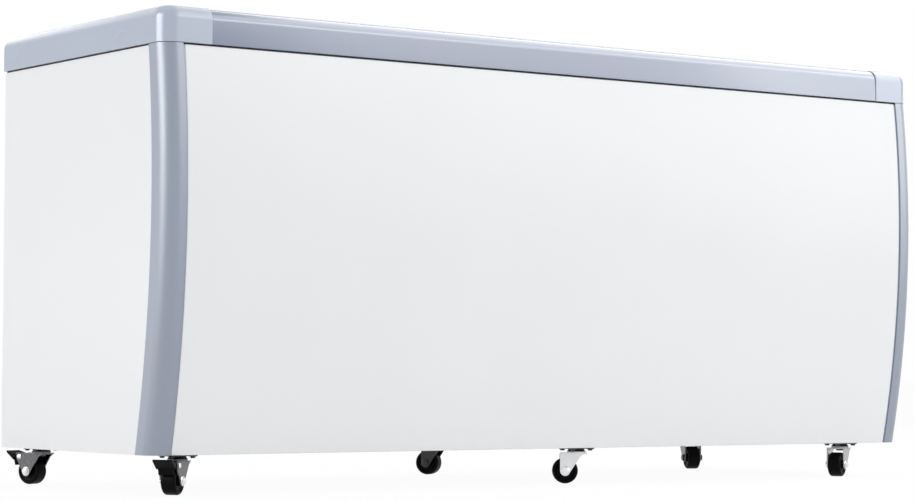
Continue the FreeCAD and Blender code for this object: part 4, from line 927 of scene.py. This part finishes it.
# Turned profiles, as points of radius and distance from the wheel's middle
half_wheel = (
    arc(0.0198, 0.0088, 0.0052, 0, 90, 10)
    + [(0.0192, 0.0138), (0.0182, 0.0130), (0.0174, 0.0116), (0.0162, 0.0110)]
    + [(0.0093, 0.0113), (0.0090, 0.0148), (0.0084, 0.0156), (0.0072, 0.0162), (0.00405, 0.0162)]
)
wheel_profile = half_wheel + [(radius, -y) for radius, y in reversed(half_wheel)]
washer_profile = [(0.0042, 0.0190), (0.0086, 0.0190), (0.0087, 0.0197), (0.0080, 0.0203), (0.0042, 0.0203)]
rivet_profile = [
    (0.0, 0.0193), (0.0048, 0.0193), (0.0050, 0.0199), (0.0043, 0.0210), (0.0026, 0.0217), (0.0, 0.0219),
]

# Plating of each fork, its lower tones painted shade, and the casters whose nuts get painted shade
deep_shaded_zinc = zinc_plate("deep_shaded_zinc", 0.05)
fork_finishes = {
    "front_left": shaded_zinc,
    "front_middle": finishes["bright_zinc"],
    "front_right": zinc_plate("half_shaded_zinc", 0.42),
    "rear_left": shaded_zinc,
    "rear_middle": deep_shaded_zinc,
    "rear_right": shaded_zinc,
}
shaded_nuts = ("rear_middle", "rear_right")


def turned(work, profile, at, sides=(1,)):
    """Turn a profile about the wheel's cross axis at a point, on one or both sides."""
    for side in sides:
        flipped = [(r, side * y) for r, y in profile]
        start = len(work.verts)
        lathe(work, flipped)
        work.verts.ensure_lookup_table()
        bmesh.ops.translate(work, vec=at, verts=work.verts[start:])


def caster_places():
    """Matrix of each caster, from its two joints."""
    found = {}
    for name in fork_finishes:
        pin = Vector(joints[f"{name}_swivel_turn"]["pos_m"])
        hub = Vector(joints[f"{name}_wheel_roll"]["pos_m"])
        along = Vector((hub.x - pin.x, hub.y - pin.y, 0)).normalized()
        across = Vector((-along.y, along.x, 0))
        matrix = Matrix((along, across, Vector((0, 0, 1)))).transposed().to_4x4()
        matrix.translation = (pin.x, pin.y, 0)
        found[name] = matrix
    return found


def caster(name, matrix):
    """Wheel, fork, axle and washers of one caster and, where it has one, its brake pedal."""
    roller, swivel, pedal = f"{name}_roller", f"{name}_swivel", f"{name}_pedal"

    wheel = mesh_from(f"{name}_wheel", lambda work: turned(work, wheel_profile, (trail, 0, axle_z)))
    wheel.transform(matrix)
    piece(f"{name}_wheel_look", rounded(wheel, 0), roller, "wheel_black", f"{name}_wheel")

    # On the shaded casters the nuts and washers take the darkest zinc, painted shade
    nut = deep_shaded_zinc if name in shaded_nuts else nut_finish
    fork = rounded(node_copy(f"{name}_fork"), fork_edge, steps=3)
    node_piece(f"{name}_fork", fork, fork_finishes[name])
    node_piece(f"{name}_axle", rounded(node_copy(f"{name}_axle"), axle_edge), nut)
    washers = mesh_from("washers", lambda work: turned(work, washer_profile, (trail, 0, axle_z), (-1, 1)))
    washers.transform(matrix)
    piece(f"{name}_washers", rounded(washers, 0), swivel, "bright_zinc", material=nut)

    if f"{name}_brake" in nodes:
        node_piece(f"{name}_brake", rounded(node_copy(f"{name}_brake"), pedal_edge, steps=3))
        pivot = (brake_x, 0, brake_z)
        rivets = mesh_from("rivets", lambda work: turned(work, rivet_profile, pivot, (-1, 1)))
        rivets.transform(matrix)
        piece(f"{name}_pivot_rivets", rounded(rivets, 0), pedal, "bright_zinc", material=nut_finish)
        ribs = grown(bar_row, "pedal_ribs", {
            "Start": (0.0, 0.0, 0.0), "Step": (rib_pitch, 0, 0), "Count": rib_count,
            "Bar": rib_bar, "Finish": finishes["pedal_black"],
        })
        slope = math.atan2(pedal_lift, pedal_reach)
        rib_z = brake_z + (rib_x - brake_x) * math.tan(slope) + rib_rise
        seat = Matrix.Translation((rib_x, 0, rib_z)) @ Matrix.Rotation(-slope, 4, "Y")
        ribs.transform(matrix @ seat)
        piece(f"{name}_pedal_ribs", rounded(ribs, rib_edge), pedal, "pedal_black")


places_of_casters = caster_places()
for name, matrix in places_of_casters.items():
    caster(name, matrix)
# The plates are zinc; their black finish is painted shade of the cabinet's underside
plates = rounded(node_copy("caster_plates"), plate_edge)
node_piece("caster_plates", plates, finishes["machine_black"])
caster_bolts([matrix.translation.xy for matrix in places_of_casters.values()])


# Stage: white floor, soft light and the camera
def sight_rays(tree):
    """One for rays that show the background: straight from the camera, off metal or through glass."""
    rays = tree.nodes.new("ShaderNodeLightPath")
    value = rays.outputs["Is Camera Ray"]
    for label in ("Is Glossy Ray", "Is Transmission Ray"):
        either = tree.nodes.new("ShaderNodeMath")
        either.operation = "MAXIMUM"
        tree.links.new(value, either.inputs[0])
        tree.links.new(rays.outputs[label], either.inputs[1])
        value = either.outputs[0]
    return value


def floor():
    """White floor that keeps the object's shadow and shows nearly white to rays of sight."""
    half, thick, drop, white_share = 40, 0.02, 0.0006, 0.94
    mesh = mesh_from("floor", lambda work: box_into(work, (-half, -half, -thick), (half, half, -drop)))
    material = finish("floor_white", Roughness=0.9, Base_Color=colour(0.9, 0.9, 0.9))
    tree = material.node_tree
    glow = tree.nodes.new("ShaderNodeEmission")
    mix = tree.nodes.new("ShaderNodeMixShader")
    share = tree.nodes.new("ShaderNodeMath")
    share.operation = "MULTIPLY"
    share.inputs[1].default_value = white_share
    tree.links.new(sight_rays(tree), share.inputs[0])
    tree.links.new(share.outputs[0], mix.inputs[0])
    tree.links.new(tree.nodes["Principled BSDF"].outputs[0], mix.inputs[1])
    tree.links.new(glow.outputs[0], mix.inputs[2])
    tree.links.new(mix.outputs[0], tree.nodes["Material Output"].inputs["Surface"])
    mesh.materials.append(material)
    thing = bpy.data.objects.new("floor", mesh)
    scene.collection.objects.link(thing)


def studio_world():
    """Soft light from all round the object, plain white to rays of sight."""
    world = bpy.data.worlds.new("studio")
    scene.world = world
    world.use_nodes = True
    tree = world.node_tree
    soft = tree.nodes["Background"]
    soft.inputs["Color"].default_value = colour(0.97, 0.98, 1.0)
    soft.inputs["Strength"].default_value = 0.62
    white = tree.nodes.new("ShaderNodeBackground")
    white.inputs["Color"].default_value = colour(1.0, 1.0, 1.0)
    mix = tree.nodes.new("ShaderNodeMixShader")
    tree.links.new(sight_rays(tree), mix.inputs[0])
    tree.links.new(soft.outputs[0], mix.inputs[1])
    tree.links.new(white.outputs[0], mix.inputs[2])
    tree.links.new(mix.outputs[0], tree.nodes["World Output"].inputs["Surface"])


def panes_left_out():
    """Collection that keeps a lamp linked to it out of the glass lids."""
    group = bpy.data.collections.new("clear_panes")
    for node in ("left_lid_glass", "right_lid_glass"):
        group.objects.link(bpy.data.objects[f"{node}_look"])
    for entry in group.collection_objects:
        entry.light_linking.link_state = "EXCLUDE"
    return group


clear_panes = panes_left_out()


def softbox(name, place, aim, size, power, lights=True, mirrored_too=True):
    """Soft lamp that lights the object, is mirrored in its gloss, or both; the lids mirror no card."""
    light = bpy.data.lights.new(name, "AREA")
    light.shape = "RECTANGLE"
    light.size, light.size_y = size
    light.energy = power
    thing = bpy.data.objects.new(name, light)
    thing.location = place
    thing.rotation_euler = (Vector(aim) - Vector(place)).to_track_quat("-Z", "Y").to_euler()
    thing.visible_diffuse = lights
    thing.visible_glossy = mirrored_too
    if not lights:
        thing.light_linking.receiver_collection = clear_panes
    scene.collection.objects.link(thing)


def photo_camera():
    """Camera fitted to the photograph's view."""
    place = Vector((-3.13878, -4.30514, 0.22395))
    turn, tilt, roll = (math.radians(a) for a in (-35.6056, -2.5305, 0.2236))
    focal_pixels, photo_width = 2653.71, 914
    back = Vector((math.sin(turn) * math.cos(tilt), -math.cos(turn) * math.cos(tilt), math.sin(tilt)))
    level = (-back).cross(Vector((0, 0, 1))).normalized()
    upright = level.cross(-back)
    right = math.cos(roll) * level + math.sin(roll) * upright
    up = -math.sin(roll) * level + math.cos(roll) * upright
    data = bpy.data.cameras.new("photo_camera")
    data.sensor_fit = "HORIZONTAL"
    data.sensor_width = 36.0
    data.lens = focal_pixels * data.sensor_width / photo_width
    data.clip_end = 200.0
    thing = bpy.data.objects.new("photo_camera", data)
    matrix = Matrix((right, up, back)).transposed().to_4x4()
    matrix.translation = place
    thing.matrix_world = matrix
    scene.collection.objects.link(thing)
    scene.camera = thing


floor()
studio_world()

# Fills light the object, and cards are only mirrored in it
softbox("front_fill", (1.5, -5.0, 2.0), (0.0, -0.3, 0.45), (2.4, 1.8), 58, mirrored_too=False)
softbox("left_fill", (-4.6, -0.3, 1.4), (-0.8, 0, 0.5), (1.7, 2.4), 32, mirrored_too=False)
softbox("top_fill", (0.4, 0.1, 3.3), (0.4, 0.1, 0.8), (4.6, 2.2), 34, mirrored_too=False)
softbox("rear_fill", (-0.6, 4.6, 2.2), (0.0, 0.3, 0.45), (2.4, 1.8), 32)
softbox("end_fill", (4.8, 1.2, 1.8), (0.9, 0.0, 0.45), (2.0, 1.8), 20)
softbox("left_card", (-4.6, 0.5, 1.9), (-0.8, 0, 0.6), (3.0, 2.2), 200, lights=False)
softbox("front_card", (2.2, -5.0, 2.9), (0.0, -0.3, 0.6), (2.4, 1.6), 30, lights=False)
softbox("right_card", (3.15, -2.15, 1.27), (1.0, -0.1, 0.75), (1.6, 1.26), 30, lights=False)
softbox("post_card", (-3.75, 3.6, 0.42), (-0.9, -0.25, 0.40), (1.3, 0.8), 10, lights=False)
softbox("middle_card", (2.2, -3.3, 1.40), (0.2, -0.3, 0.75), (1.7, 0.9), 14, lights=False)
softbox("brow_card", (2.6, -3.1, 2.6), (0.2, -0.3, 0.8), (3.6, 1.2), 60, lights=False)
softbox("ceiling_card", (2.9, -0.9, 3.5), (2.9, -0.9, 0.0), (4.0, 5.4), 290, lights=False)
photo_camera()
scene.view_settings.view_transform = "Standard"
